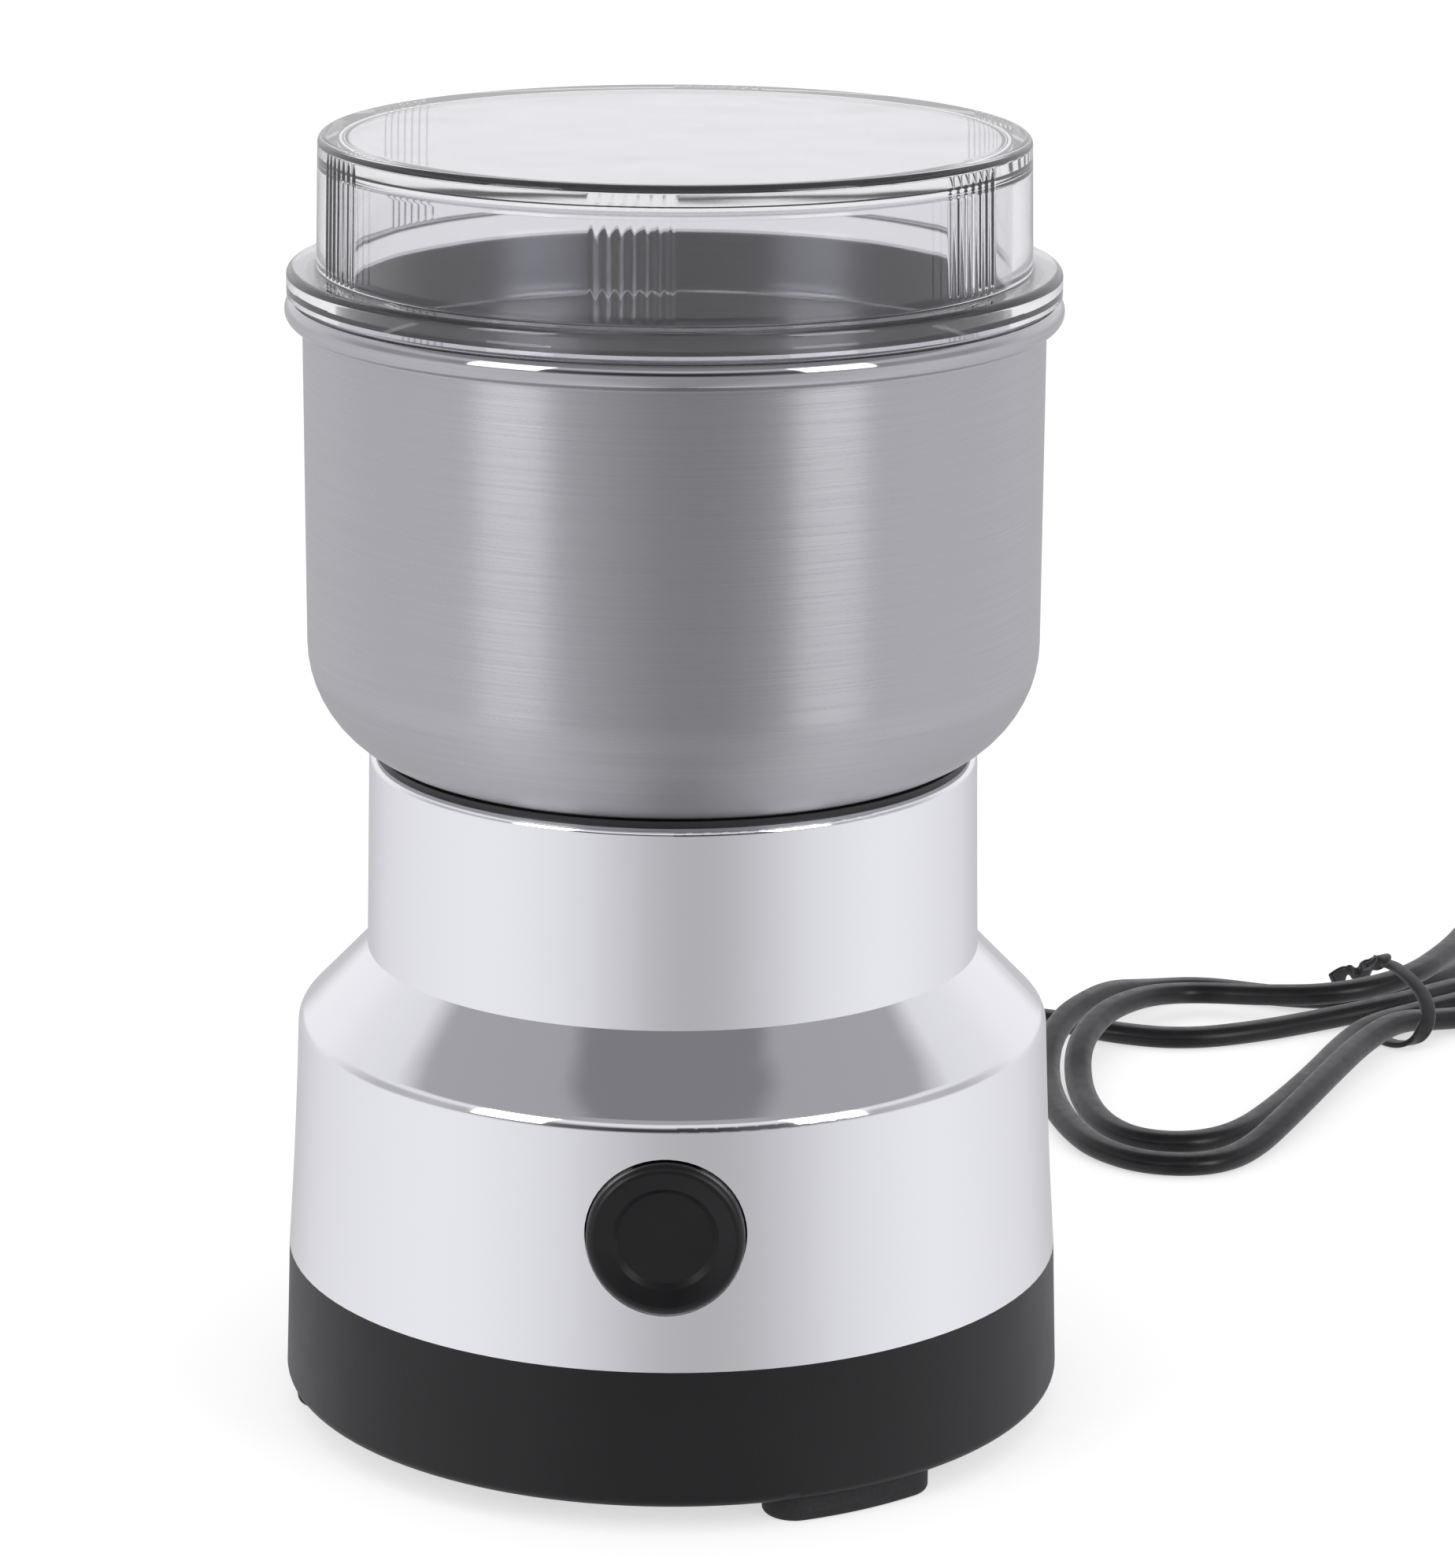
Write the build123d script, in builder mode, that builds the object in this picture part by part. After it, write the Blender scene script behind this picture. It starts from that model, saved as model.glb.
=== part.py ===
from build123d import *
import math
import os

# Electric spice grinder: silver moulded body on a black base, steel bowl in its neck, clear lift-off lid.
# Millimetres. +Z up, the front with its push button faces -Y, the cord leaves at the back (+Y).
# The origin is on the surface that the feet stand on, under the motor axis.

# ---------------------------------------------------------------- driving dimensions
# base cover and feet
foot_height = 3.3
foot_sink = 1.2
foot_inset = 1.2
foot_round = 0.8
foot_width = 8.0
foot_span = 29.0
foot_angles = {"foot_front_right": -60.0, "foot_rear_right": 60.0, "foot_left": 180.0}
base_top_r = 49.8
base_flare = 0.6
base_height = 17.75
base_wall = 2.8
base_floor = 2.4
base_round = 1.3
lip_height = 3.0
lip_wall = 1.6
lip_gap = 0.2
well_wall = 1.0
well_seat = 4.0
well_gap = 0.4
vent_count = 8
vent_width = 3.0
vent_inner_r = 11.0
vent_outer_r = 27.0

# body housing
wall = 2.4
skirt_height = 30.9
skirt_bow = 0.16
skirt_taper = 1.65
cone_height = 9.3
neck_top_r = 38.7
neck_taper = 0.5
neck_height = 25.3
shoulder_round = 2.6
neck_round = 1.0
shelf_drop = 8.3
shelf_thick = 3.0
shelf_bore_inset = 2.2

# base screws and their posts
post_count = 3
post_inset = 9.9
post_r = 3.6
post_start = 70.0
post_bottom_rise = 11.0
post_rib = 1.8
base_screw_r = 1.4
base_screw_head_r = 2.7
base_screw_head = 1.8
base_screw_length = 18.0

# play between pieces that are pushed or screwed together
fit_clearance = 0.05

# grinding bowl, its seal and its fastening
bowl_overhang = 7.6
bowl_sheet = 0.8
bowl_corner_r = 15.0
bowl_sink = 0.3
bowl_height = 55.4
bead_out = 2.2
bead_r = 1.9
gasket_height = 0.7
gasket_skirt = 3.0
gasket_skirt_t = 1.1
gasket_gap = 0.1
hub_bore_r = 7.0
washer_r = 13.0
washer_thick = 1.0
nut_flats = 20.0
nut_chamfer = 0.8
nut_thick = 4.0
seal_r = 6.2
seal_gap = 0.3
seal_thick = 1.6

# clear lid
lid_gap = 0.1
lid_flange_inset = 0.3
lid_flange_height = 3.3
lid_flange_round = 1.0
lid_skirt_gap = 0.95
lid_taper = 0.45
lid_wall = 2.4
lid_top = 2.8
lid_rise = 16.3
lid_top_round = 1.0
lid_skirt = 8.0
lid_inner_round = 1.6
rib_groups = 6
rib_group_start = -95.6
ribs_per_group = 7
rib_pitch_deg = 1.95
rib_width = 0.8
rib_high = 0.4
rib_margin = 1.0

# power button, its guide and the switch behind it
button_z = 38.05
button_r = 9.65
button_proud = 1.2
button_round = 1.1
button_dish_r = 6.5
button_rim_slope = 0.5
button_dish = 1.2
button_face = 2.0
button_skirt = 2.0
button_flange_r = 11.8
button_flange = 1.2
button_stem_r = 2.2
button_travel = 2.0
guide_gap = 0.25
guide_wall = 2.2
guide_depth = 2.1
stop_gap = 0.1
spring_r = 4.0
spring_wire_r = 0.35
spring_turns = 5
holder_boss_x = 17.0
holder_boss_r = 2.8
holder_thick = 2.0
holder_high = 15.0
holder_gap = 9.1
stem_gap = 0.3
clip_wide = 10.0
clip_thick = 1.2
clip_long = 5.0
holder_screw_r = 1.15
holder_screw_head_r = 2.3
holder_screw_head = 1.3
holder_screw_length = 7.0
switch_long = 19.8
switch_high = 6.4
switch_deep = 9.6
plunger_r = 1.2
plunger_length = 7.0
plunger_proud = 2.6
terminal_wide = 2.8
terminal_thick = 0.5
terminal_long = 2.6
terminal_pitch = 7.3

# motor
bush_thick = 1.2
bush_r = 3.0
flange_thick = 3.0
flange_gap = 0.7
motor_screw_count = 3
motor_screw_start = 30.0
motor_screw_inset = 4.1
motor_screw_r = 1.5
motor_screw_head_r = 2.8
motor_screw_head = 1.8
motor_screw_length = 12.0
motor_boss_drop = 6.0
stator_r = 28.0
stator_flat = 22.0
stator_height = 22.0
stator_window_x = 22.4
stator_window_y = 16.6
stator_window_round = 3.0
pole_half = 7.5
pole_shoe = 3.0
pole_span = 58.0
air_gap = 0.4
leg_up = 12.7
leg_down = 15.5
leg_r = 3.4
stator_bolt_y = 19.3
stator_bolt_r = 1.5
stator_bolt_head_r = 2.7
stator_bolt_head = 2.0
coil_overhang = 4.0
coil_thick = 6.0
coil_gap = 0.3
bridge_thick = 3.0
bridge_wide = 9.0
bridge_reach = 24.0
window_r = 5.5
window_inset = 8.7
window_step = 38.0
windows_per_side = 3
bearing_wall = 3.0
bush_bearing_r = 5.2
upper_bearing_length = 14.0
lower_bearing_length = 8.0
armature_r = 14.0
slot_count = 12
slot_r = 1.9
slot_circle_r = 10.6
slot_mouth = 1.2
winding_overhang_top = 5.5
winding_overhang_bottom = 3.0
winding_r = 12.6
commutator_r = 9.0
commutator_length = 8.5
commutator_bars = 12
commutator_cut = 0.5
shaft_r = 3.0
shaft_gap = 0.04
shaft_bottom_rise = 6.6
spindle_r = 2.4
spindle_under = 0.6
thrust_washer_r = 5.0
thrust_washer_thick = 0.8
fan_r = 25.0
fan_hub_r = 6.0
fan_height = 7.0
fan_plate = 1.2
fan_blades = 9
fan_blade_t = 1.0
brush_wide = 5.0
brush_high = 6.0
brush_long = 8.0
brush_gap = 0.1
brush_box_wall = 0.6
brush_box_gap = 1.2
brush_box_long = 15.0
brush_spring_r = 1.9
brush_spring_wire_r = 0.25
brush_spring_turns = 5
brush_rise = 7.2

# blade and its hub
blade_span_r = 31.0
blade_wide = 11.0
blade_thick = 1.2
blade_bend_r = 12.0
blade_lift = 5.0
blade_edge = 0.5
blade_tip = 1.0
blade_hub_r = 8.5
blade_hub_height = 4.0
blade_nut_flats = 9.0
blade_nut_cap = 1.0
blade_nut_height = 4.5
blade_running_gap = 0.6

# cord, strain relief, plug and tie
cord_r = 2.1
cord_exit_z = 11.6
relief_r = 4.2
relief_flange_r = 5.4
relief_flange = 1.5
relief_boot = 20.0
relief_tip_r = 2.9
relief_ribs = 4
clamp_long = 13.0
clamp_pinch = 0.1
clamp_wide = 8.0
clamp_high = 4.0
clamp_inset = 7.0
clamp_screw_x = 4.6
clamp_screw_r = 1.1
clamp_screw_head_r = 2.0
clamp_screw_head = 1.2
clamp_screw_length = 8.0
relief_catch_r = 4.6
relief_catch = 1.6
relief_groove = 0.6
cord_inner_past = 3.6
cord_drop = [(0.1, 84.1, 10.6), (2.2, 97.4, 6.2), (8.8, 113.8, 2.6)]
cord_on_floor = [(19.8, 130.3), (34.3, 144.7), (48.2, 151.7), (59.8, 150.3)]
cord_tail_route = [(147.3, 158.4, 4.6), (154.3, 149, 5), (157.2, 137.5, 6.3)]
hank_height = 6.6
hank_corner_r = 6.0
hank_eye_r = 1.2
waist_at = (114.2, 159.3)
waist_turn = 19.0
waist_long = 9.0
waist_wide = 21.0
hank_near_loop = [
    (97.2, 168.1),
    (85.1, 171.6),
    (73.5, 169.2),
    (63.7, 156.3),
    (57, 140),
    (53.2, 119.8),
    (55.8, 96.9),
    (62.9, 83.6),
    (73.6, 79.2),
    (84.1, 85.2),
    (92, 98.1),
    (103, 121.5),
]
hank_far_loop = [
    (132.6, 155.9),
    (145.7, 159.1),
    (161.2, 165.3),
    (175.9, 176.5),
    (185.5, 193.7),
    (181.7, 211.6),
    (166.3, 221.9),
    (146.9, 219),
    (136.8, 207),
    (127.5, 193.6),
    (121.7, 179.9),
]
hank_eyes = [
    [
        (64.9, 116.2), (66.7, 100.8), (72.8, 94.7), (79.8, 99.2), (89.6, 115.1), (101.1, 144.5),
        (89.6, 142.3), (78.6, 139.7), (70, 141.4),
    ],
    [
        (72.9, 148.2), (77.8, 154.9), (84.3, 156.8), (94.4, 154.9), (88.5, 148.3), (79, 145.2),
    ],
    [
        (132.3, 176.7), (150.3, 184.4), (161.7, 193.9), (162.1, 202.9), (152.9, 208.4),
        (144.9, 203.3), (137.5, 193.5),
    ],
    [
        (133.5, 166.1), (146.6, 165.2), (159.1, 170.3), (171.2, 180.1), (179.4, 194.5),
        (176.1, 208.4), (169, 213.2), (168.3, 191.1), (155.4, 179.6),
    ],
]
tie_wire = 1.1
tie_wide = 2.4
tie_twist = 6.0
plug_long = 35.3
plug_wide = 26.0
plug_high = 13.7
plug_neck = 13.0
pin_r = 2.0
pin_long = 19.0
pin_pitch = 19.0
plug_at = (157.3, 126.5)
capacitor_long = 18.0
capacitor_deep = 8.5
capacitor_high = 15.0
capacitor_at = (-19.0, 32.0)
capacitor_turn = 30.0
lead_r = 0.9
lead_straight = 3.2
coil_end_y = 11.5
lead_live_route = [
    (-3.0, 28.0, 16.5),
    (-8.0, 28.8, 24.0),
    (-20.0, 26.0, 30.0),
    (-31.0, 12.0, 31.5),
    (-31.0, -7.0, 31.7),
    (-22.0, -18.0, 33.5),
    (-11.0, -20.0, 36.5),
]
lead_neutral_route = [(3.5, 28.0, 16.5), (10.0, 27.5, 24.0), (18.0, 22.0, 30.5)]
lead_motor_route = [(12.5, -18.0, 36.0)]
lead_turn_up = 4.6

# ---------------------------------------------------------------- derived levels and radii
base_bottom_z = foot_height
base_r = base_top_r + base_flare
foot_outer_r = base_r - foot_inset
shoulder_r = base_top_r - skirt_taper
post_circle_r = base_top_r - wall - post_inset
base_top_z = base_bottom_z + base_height
floor_top_z = base_bottom_z + base_floor
shoulder_z = base_top_z + skirt_height
neck_foot_z = shoulder_z + cone_height
neck_top_z = neck_foot_z + neck_height
shelf_top_z = neck_top_z - shelf_drop
shelf_bottom_z = shelf_top_z - shelf_thick
bowl_bottom_z = neck_top_z - bowl_sink
bowl_floor_z = bowl_bottom_z + bowl_sheet
neck_foot_r = neck_top_r + neck_taper
bowl_r = neck_top_r + bowl_overhang
bead_bottom_z = bowl_bottom_z + bowl_height
bead_middle_z = bead_bottom_z + bead_r
bead_top_z = bead_middle_z + bead_r
bead_middle_r = bowl_r + bead_out - bead_r
bowl_inner_r = bowl_r - bowl_sheet
lid_seat_z = bead_top_z + lid_gap
lid_flange_r = bowl_r + bead_out - lid_flange_inset
lid_wall_foot_r = bowl_inner_r - lid_skirt_gap
lid_wall_top_r = lid_wall_foot_r - lid_taper
lid_flange_top_z = lid_seat_z + lid_flange_height
lid_top_z = lid_flange_top_z + lid_rise

# the motor hangs from its upper bracket, which stands on rubber bushes on the shelf inside the neck
flange_bottom_z = shelf_top_z + bush_thick
flange_top_z = flange_bottom_z + flange_thick
neck_inner_r = neck_top_r - wall
flange_r = neck_inner_r - flange_gap
motor_screw_circle_r = neck_inner_r - motor_screw_inset
shelf_bore_r = motor_screw_circle_r - shelf_bore_inset
window_circle_r = motor_screw_circle_r - window_inset
stator_top_z = flange_bottom_z - leg_up
stator_bottom_z = stator_top_z - stator_height
bridge_top_z = stator_bottom_z - leg_down
bridge_bottom_z = bridge_top_z - bridge_thick
bearing_housing_r = bush_bearing_r + bearing_wall
lower_bearing_z = bridge_bottom_z - bearing_wall
lower_bearing_top_z = lower_bearing_z + lower_bearing_length
commutator_z = lower_bearing_top_z + shaft_gap + thrust_washer_thick
brush_z = bridge_top_z + brush_rise
stator_bore_r = armature_r + air_gap
fan_top_z = lower_bearing_z - thrust_washer_thick - 2 * shaft_gap
shaft_bottom_z = base_bottom_z + shaft_bottom_rise
nut_bottom_z = bowl_floor_z + washer_thick
nut_top_z = nut_bottom_z + nut_thick
seal_top_z = nut_top_z + seal_thick
hub_bottom_z = seal_top_z + blade_running_gap
blade_z = hub_bottom_z + blade_hub_height
blade_nut_z = blade_z + blade_thick
shaft_top_z = blade_nut_z + blade_nut_height - blade_nut_cap
upper_bearing_z = nut_top_z - upper_bearing_length

# across the button: distances in front of the axis, along -Y
skirt_r_at_button = shoulder_r + skirt_taper * (shoulder_z - button_z) / skirt_height - skirt_bow
button_front = skirt_r_at_button + button_proud
skirt_inner_r = skirt_r_at_button - wall
guide_outer_r = button_r + guide_gap + guide_wall
guide_end = math.sqrt(skirt_inner_r**2 - guide_outer_r**2) - guide_depth / 2
flange_front = guide_end - stop_gap
flange_back = flange_front - button_flange
cup_floor = button_front - button_face
holder_front = cup_floor - holder_gap
holder_back = holder_front - holder_thick
switch_back = holder_back - switch_deep
plunger_tip = holder_back + plunger_proud
stem_tip = plunger_tip + stop_gap

os.makedirs("parts", exist_ok=True)


# ---------------------------------------------------------------- shared helpers
def finish(piece, name):
    """Label a finished piece and write it as parts/NAME.step."""
    piece.part.label = name
    export_step(piece.part, f"parts/{name}.step")


def post_places():
    """Base screw posts, evenly spaced round the axis."""
    return PolarLocations(post_circle_r, post_count, start_angle=post_start)


def motor_screw_places():
    """Screws that hang the motor on the shelf, evenly spaced round the axis."""
    return PolarLocations(motor_screw_circle_r, motor_screw_count, start_angle=motor_screw_start)


def stator_bolt_places():
    """The two long bolts, in front of the armature and behind it."""
    return Locations((0, -stator_bolt_y), (0, stator_bolt_y))


def holder_screw_places():
    """Either side of the button, on a plane that faces the front."""
    return Locations((-holder_boss_x, button_z), (holder_boss_x, button_z))


def clamp_screw_places():
    """Either side of the cord in its clamp."""
    return Locations((-clamp_screw_x, clamp_y), (clamp_screw_x, clamp_y))


def corner_at(r, z):
    """The corner of the section being drawn that lies nearest to a radius and a height."""
    return vertices().sort_by_distance((r, z, 0))[0]


def screws(name, plane, places, head_way, head_r, head, shank_r, length):
    """Pan-headed screws: heads on one side of the plane, shanks on the other."""
    with BuildPart() as piece:
        with BuildSketch(plane):
            with places():
                Circle(head_r)
        extrude(amount=head_way * head)
        with BuildSketch(plane):
            with places():
                Circle(shank_r)
        extrude(amount=-head_way * length)
    finish(piece, name)


def coil_spring(start, way, length, coil_r, wire_r, turns):
    """A compression spring of square wire that stands on start and points along way."""
    rise = length - 2 * wire_r
    foot = Vector(*start) + Vector(*way) * wire_r
    with BuildPart(mode=Mode.PRIVATE) as piece:
        with BuildLine() as wire:
            Helix(pitch=rise / turns, height=rise, radius=coil_r, center=foot, direction=way)
        with BuildSketch(Plane(origin=wire.line @ 0, z_dir=wire.line % 0)):
            Rectangle(2 * wire_r, 2 * wire_r)
        sweep(is_frenet=True)
    return piece.part


def fillet_radii(points):
    """The largest arcs that leave a tenth of the shorter run straight at each corner."""
    radii = []
    for before, corner, after in zip(points, points[1:], points[2:]):
        into = Vector(*corner) - Vector(*before)
        out_of = Vector(*after) - Vector(*corner)
        half_turn = math.radians(into.get_angle(out_of)) / 2
        radii.append(0.45 * min(into.length, out_of.length) / math.tan(half_turn))
    return radii


def tube(name, points, tube_r):
    """A round cord or wire along straight runs joined by tangent arcs."""
    radii = fillet_radii(points)
    with BuildPart() as piece:
        with BuildLine() as path:
            FilletPolyline(*points, radius=radii)
        with BuildSketch(Plane(origin=path.line @ 0, z_dir=path.line % 0)):
            Circle(tube_r)
        sweep()
    finish(piece, name)
    length = sum(edge.length for edge in path.edges())
    share = piece.part.volume / (math.pi * tube_r**2 * length)
    print(name, "length", round(length, 1), "volume share", round(share, 4))
    print(name, "radii", [round(r, 1) for r in radii])


# ---------------------------------------------------------------- body housing
# One silver moulding: bowed skirt, cone and plain neck, with the motor shelf inside the neck, three posts
# for the base screws, the button's guide collar and two bosses for the switch holder.
post_bottom_z = base_bottom_z + post_bottom_rise
rib_bottom_z = base_top_z + lip_height + well_wall

with BuildPart() as housing_void:
    with BuildSketch(Plane.XZ):
        with BuildLine():
            Polyline(
                (0, base_top_z),
                (base_top_r - wall, base_top_z),
                (shoulder_r - wall, shoulder_z - wall / 2),
                (neck_foot_r - wall, neck_foot_z - wall / 2),
                (neck_top_r - wall, neck_top_z),
                (0, neck_top_z),
                close=True,
            )
        make_face()
    revolve(axis=Axis.Z)

with BuildPart() as housing_insides:
    with BuildSketch(Plane.XY.offset(base_top_z)):
        with post_places():
            Circle(post_r)
    extrude(amount=neck_foot_z - wall - base_top_z)
    with BuildSketch(Plane.XY.offset(rib_bottom_z)):
        with post_places():
            with Locations((post_inset / 2, 0)):
                Rectangle(post_inset + wall, post_rib)
    extrude(amount=shoulder_z - rib_bottom_z)
    with BuildSketch(Plane.XY.offset(shelf_bottom_z)):
        Circle(neck_foot_r)
        Circle(shelf_bore_r, mode=Mode.SUBTRACT)
    extrude(amount=shelf_thick)
    with BuildSketch(Plane.XY.offset(shelf_bottom_z)):
        with motor_screw_places():
            Circle(bush_r)
    extrude(amount=-motor_boss_drop)
    with BuildSketch(Plane.XZ.offset(guide_end)):
        with Locations((0, button_z)):
            Circle(guide_outer_r)
    extrude(amount=wall + guide_depth)
    with BuildSketch(Plane.XZ.offset(holder_front)):
        with holder_screw_places():
            Circle(holder_boss_r)
    extrude(amount=base_r - holder_front)
    add(housing_void.part, mode=Mode.INTERSECT)

with BuildPart() as body_housing:
    with BuildSketch(Plane.XZ):
        with BuildLine():
            bow = ThreePointArc(
                (base_top_r, base_top_z),
                ((base_top_r + shoulder_r) / 2 - skirt_bow, (base_top_z + shoulder_z) / 2),
                (shoulder_r, shoulder_z),
            )
            Polyline(
                bow @ 1,
                (neck_foot_r, neck_foot_z),
                (neck_top_r, neck_top_z),
                (0, neck_top_z),
                (0, base_top_z),
                bow @ 0,
            )
        make_face()
        fillet(corner_at(neck_top_r, neck_top_z), neck_round)
        fillet(corner_at(shoulder_r, shoulder_z), shoulder_round)
    revolve(axis=Axis.Z)
    add(housing_void.part, mode=Mode.SUBTRACT)
    add(housing_insides.part)
    with BuildSketch(Plane.XY.offset(post_bottom_z)):
        with post_places():
            Circle(post_r)
    extrude(amount=base_top_z - post_bottom_z)
    with BuildSketch(Plane.XY.offset(post_bottom_z)):
        with post_places():
            Circle(base_screw_r + fit_clearance)
    extrude(amount=base_screw_length, mode=Mode.SUBTRACT)
    with BuildSketch(Plane.XY.offset(shelf_top_z)):
        with motor_screw_places():
            Circle(motor_screw_r + fit_clearance)
    extrude(amount=-motor_screw_length, mode=Mode.SUBTRACT)
    with BuildSketch(Plane.XZ.offset(holder_front)):
        with holder_screw_places():
            Circle(holder_screw_r + fit_clearance)
    extrude(amount=holder_screw_length - holder_thick, mode=Mode.SUBTRACT)
    with BuildSketch(Plane.XZ.offset(guide_end)):
        with Locations((0, button_z)):
            Circle(button_r + guide_gap)
    extrude(amount=base_r - guide_end + wall, mode=Mode.SUBTRACT)
finish(body_housing, "body_housing")

# ---------------------------------------------------------------- base cover and feet
# The black tray that closes the bottom: a lip locates it inside the skirt, slots let the fan's air through,
# screw wells reach up to the posts, and pockets below take the curved rubber feet.
lip_outer_r = base_top_r - wall - lip_gap
lip_inner_r = lip_outer_r - lip_wall
clamp_y = lip_inner_r - clamp_inset
cord_inner_y = clamp_y - clamp_wide / 2 - cord_inner_past
well_seat_z = post_bottom_z - well_seat
clamp_split_z = cord_exit_z - clamp_pinch


def foot_outline(angle, clearance):
    """A round-ended arc on the foot circle."""
    middle_r = foot_outer_r - foot_width / 2
    swept = foot_span - math.degrees(foot_width / middle_r)
    spine = CenterArc((0, 0), middle_r, angle - swept / 2, swept, mode=Mode.PRIVATE)
    SlotArc(spine, foot_width + 2 * clearance)


with BuildPart() as base_cover:
    with BuildSketch(Plane.XZ):
        with BuildLine():
            Polyline(
                (0, base_bottom_z),
                (base_r, base_bottom_z),
                (base_top_r, base_top_z),
                (lip_outer_r, base_top_z),
                (lip_outer_r, base_top_z + lip_height),
                (lip_inner_r, base_top_z + lip_height),
                (lip_inner_r, base_top_z - lip_height),
                (base_r - base_wall, base_top_z - lip_height),
                (base_r - base_wall, floor_top_z),
                (0, floor_top_z),
                close=True,
            )
        make_face()
        fillet(corner_at(base_r, base_bottom_z), base_round)
    revolve(axis=Axis.Z)
    with BuildSketch(Plane.XY.offset(floor_top_z)):
        with post_places():
            Circle(post_r + well_wall)
    extrude(amount=post_bottom_z - floor_top_z)
    with BuildSketch(Plane.XY.offset(floor_top_z)):
        with Locations((0, clamp_y)):
            Rectangle(clamp_long, clamp_wide)
    extrude(amount=clamp_split_z - floor_top_z)
    with BuildSketch(Plane.XY.offset(base_bottom_z)):
        with post_places():
            Circle(base_screw_head_r + well_gap)
    extrude(amount=well_seat_z - base_bottom_z, mode=Mode.SUBTRACT)
    with BuildSketch(Plane.XY.offset(well_seat_z)):
        with post_places():
            Circle(base_screw_r + fit_clearance)
    extrude(amount=well_seat, mode=Mode.SUBTRACT)
    with BuildSketch(Plane.XY.offset(base_bottom_z)):
        with PolarLocations((vent_inner_r + vent_outer_r) / 2, vent_count, start_angle=180 / vent_count):
            SlotOverall(vent_outer_r - vent_inner_r, vent_width)
    extrude(amount=base_floor, mode=Mode.SUBTRACT)
    with BuildSketch(Plane.XY.offset(base_bottom_z)):
        for angle in foot_angles.values():
            foot_outline(angle, fit_clearance)
    extrude(amount=foot_sink, mode=Mode.SUBTRACT)
    with BuildSketch(Plane.XZ.offset(clamp_wide / 2 - clamp_y)):
        with Locations((0, cord_exit_z)):
            Circle(cord_r + fit_clearance)
    extrude(amount=-clamp_wide, mode=Mode.SUBTRACT)
    with BuildSketch(Plane.XZ.offset(-lip_inner_r)):
        with Locations((0, cord_exit_z)):
            Circle(relief_r + fit_clearance)
    extrude(amount=-base_r, mode=Mode.SUBTRACT)
    with BuildSketch(Plane.XY.offset(clamp_split_z)):
        with clamp_screw_places():
            Circle(clamp_screw_r + fit_clearance)
    extrude(amount=clamp_high - clamp_screw_length, mode=Mode.SUBTRACT)
finish(base_cover, "base_cover")

for foot_name, angle in foot_angles.items():
    with BuildPart() as foot:
        with BuildSketch(Plane.XY):
            foot_outline(angle, 0)
        extrude(amount=foot_height + foot_sink)
        fillet(foot.faces().sort_by(Axis.Z)[0].edges(), foot_round)
    finish(foot, foot_name)

screws(
    "base_screws",
    Plane.XY.offset(well_seat_z),
    post_places,
    -1,
    base_screw_head_r,
    base_screw_head,
    base_screw_r,
    base_screw_length,
)

# ---------------------------------------------------------------- grinding bowl, seal and fastening
# A deep-drawn steel cup whose rim is curled outwards. Its round bottom corner sits in a rubber ring on the
# neck, and one flat nut clamps its floor to the motor's upper bracket.
corner_x = bowl_r - bowl_corner_r
corner_z = bowl_bottom_z + bowl_corner_r
curl_end_z = bead_middle_z - math.sqrt(bead_r**2 - (bead_middle_r - bowl_r) ** 2)

with BuildPart() as grinding_bowl:
    with BuildSketch(Plane.XZ):
        with BuildLine():
            outside = Polyline((hub_bore_r, bowl_bottom_z), (corner_x, bowl_bottom_z))
            outer_corner = JernArc(outside @ 1, (1, 0), bowl_corner_r, 90)
            Line(outer_corner @ 1, (bowl_r, curl_end_z))
            ThreePointArc(
                (bowl_r, curl_end_z),
                (bowl_r + bead_out, bead_middle_z),
                (bead_middle_r, bead_top_z),
            )
            Line((bead_middle_r, bead_top_z), (bowl_inner_r, bead_top_z))
            Line((bowl_inner_r, bead_top_z), (bowl_inner_r, corner_z))
            inner_corner = JernArc((bowl_inner_r, corner_z), (0, -1), bowl_corner_r - bowl_sheet, -90)
            Polyline(inner_corner @ 1, (hub_bore_r, bowl_floor_z), outside @ 0)
        make_face()
        fillet(corner_at(bowl_inner_r, bead_top_z), bowl_sheet / 2)
    revolve(axis=Axis.Z)
finish(grinding_bowl, "grinding_bowl")

with BuildPart() as bowl_gasket:
    with BuildSketch(Plane.XZ):
        with BuildLine():
            Polyline(
                (neck_inner_r - gasket_skirt_t, neck_top_z - gasket_skirt),
                (neck_inner_r - gasket_gap, neck_top_z - gasket_skirt),
                (neck_inner_r - gasket_gap, neck_top_z),
                (neck_top_r - neck_round, neck_top_z),
                (neck_top_r - neck_round, neck_top_z + gasket_height),
                (neck_inner_r - gasket_skirt_t, neck_top_z + gasket_height),
                close=True,
            )
        make_face()
        with Locations((corner_x, corner_z)):
            Circle(bowl_corner_r + gasket_gap, mode=Mode.SUBTRACT)
    revolve(axis=Axis.Z)
finish(bowl_gasket, "bowl_gasket")

with BuildPart() as bowl_washer:
    with BuildSketch(Plane.XY.offset(bowl_floor_z)):
        Circle(washer_r)
        Circle(hub_bore_r, mode=Mode.SUBTRACT)
    extrude(amount=washer_thick)
finish(bowl_washer, "bowl_washer")

with BuildPart() as bowl_nut:
    with BuildSketch(Plane.XY.offset(nut_bottom_z)):
        RegularPolygon(nut_flats / 2, 6, major_radius=False)
        Circle(hub_bore_r, mode=Mode.SUBTRACT)
    extrude(amount=nut_thick)
    chamfer(edges().group_by(Axis.Z)[-1].filter_by(GeomType.LINE), nut_chamfer)
finish(bowl_nut, "bowl_nut")

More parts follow.
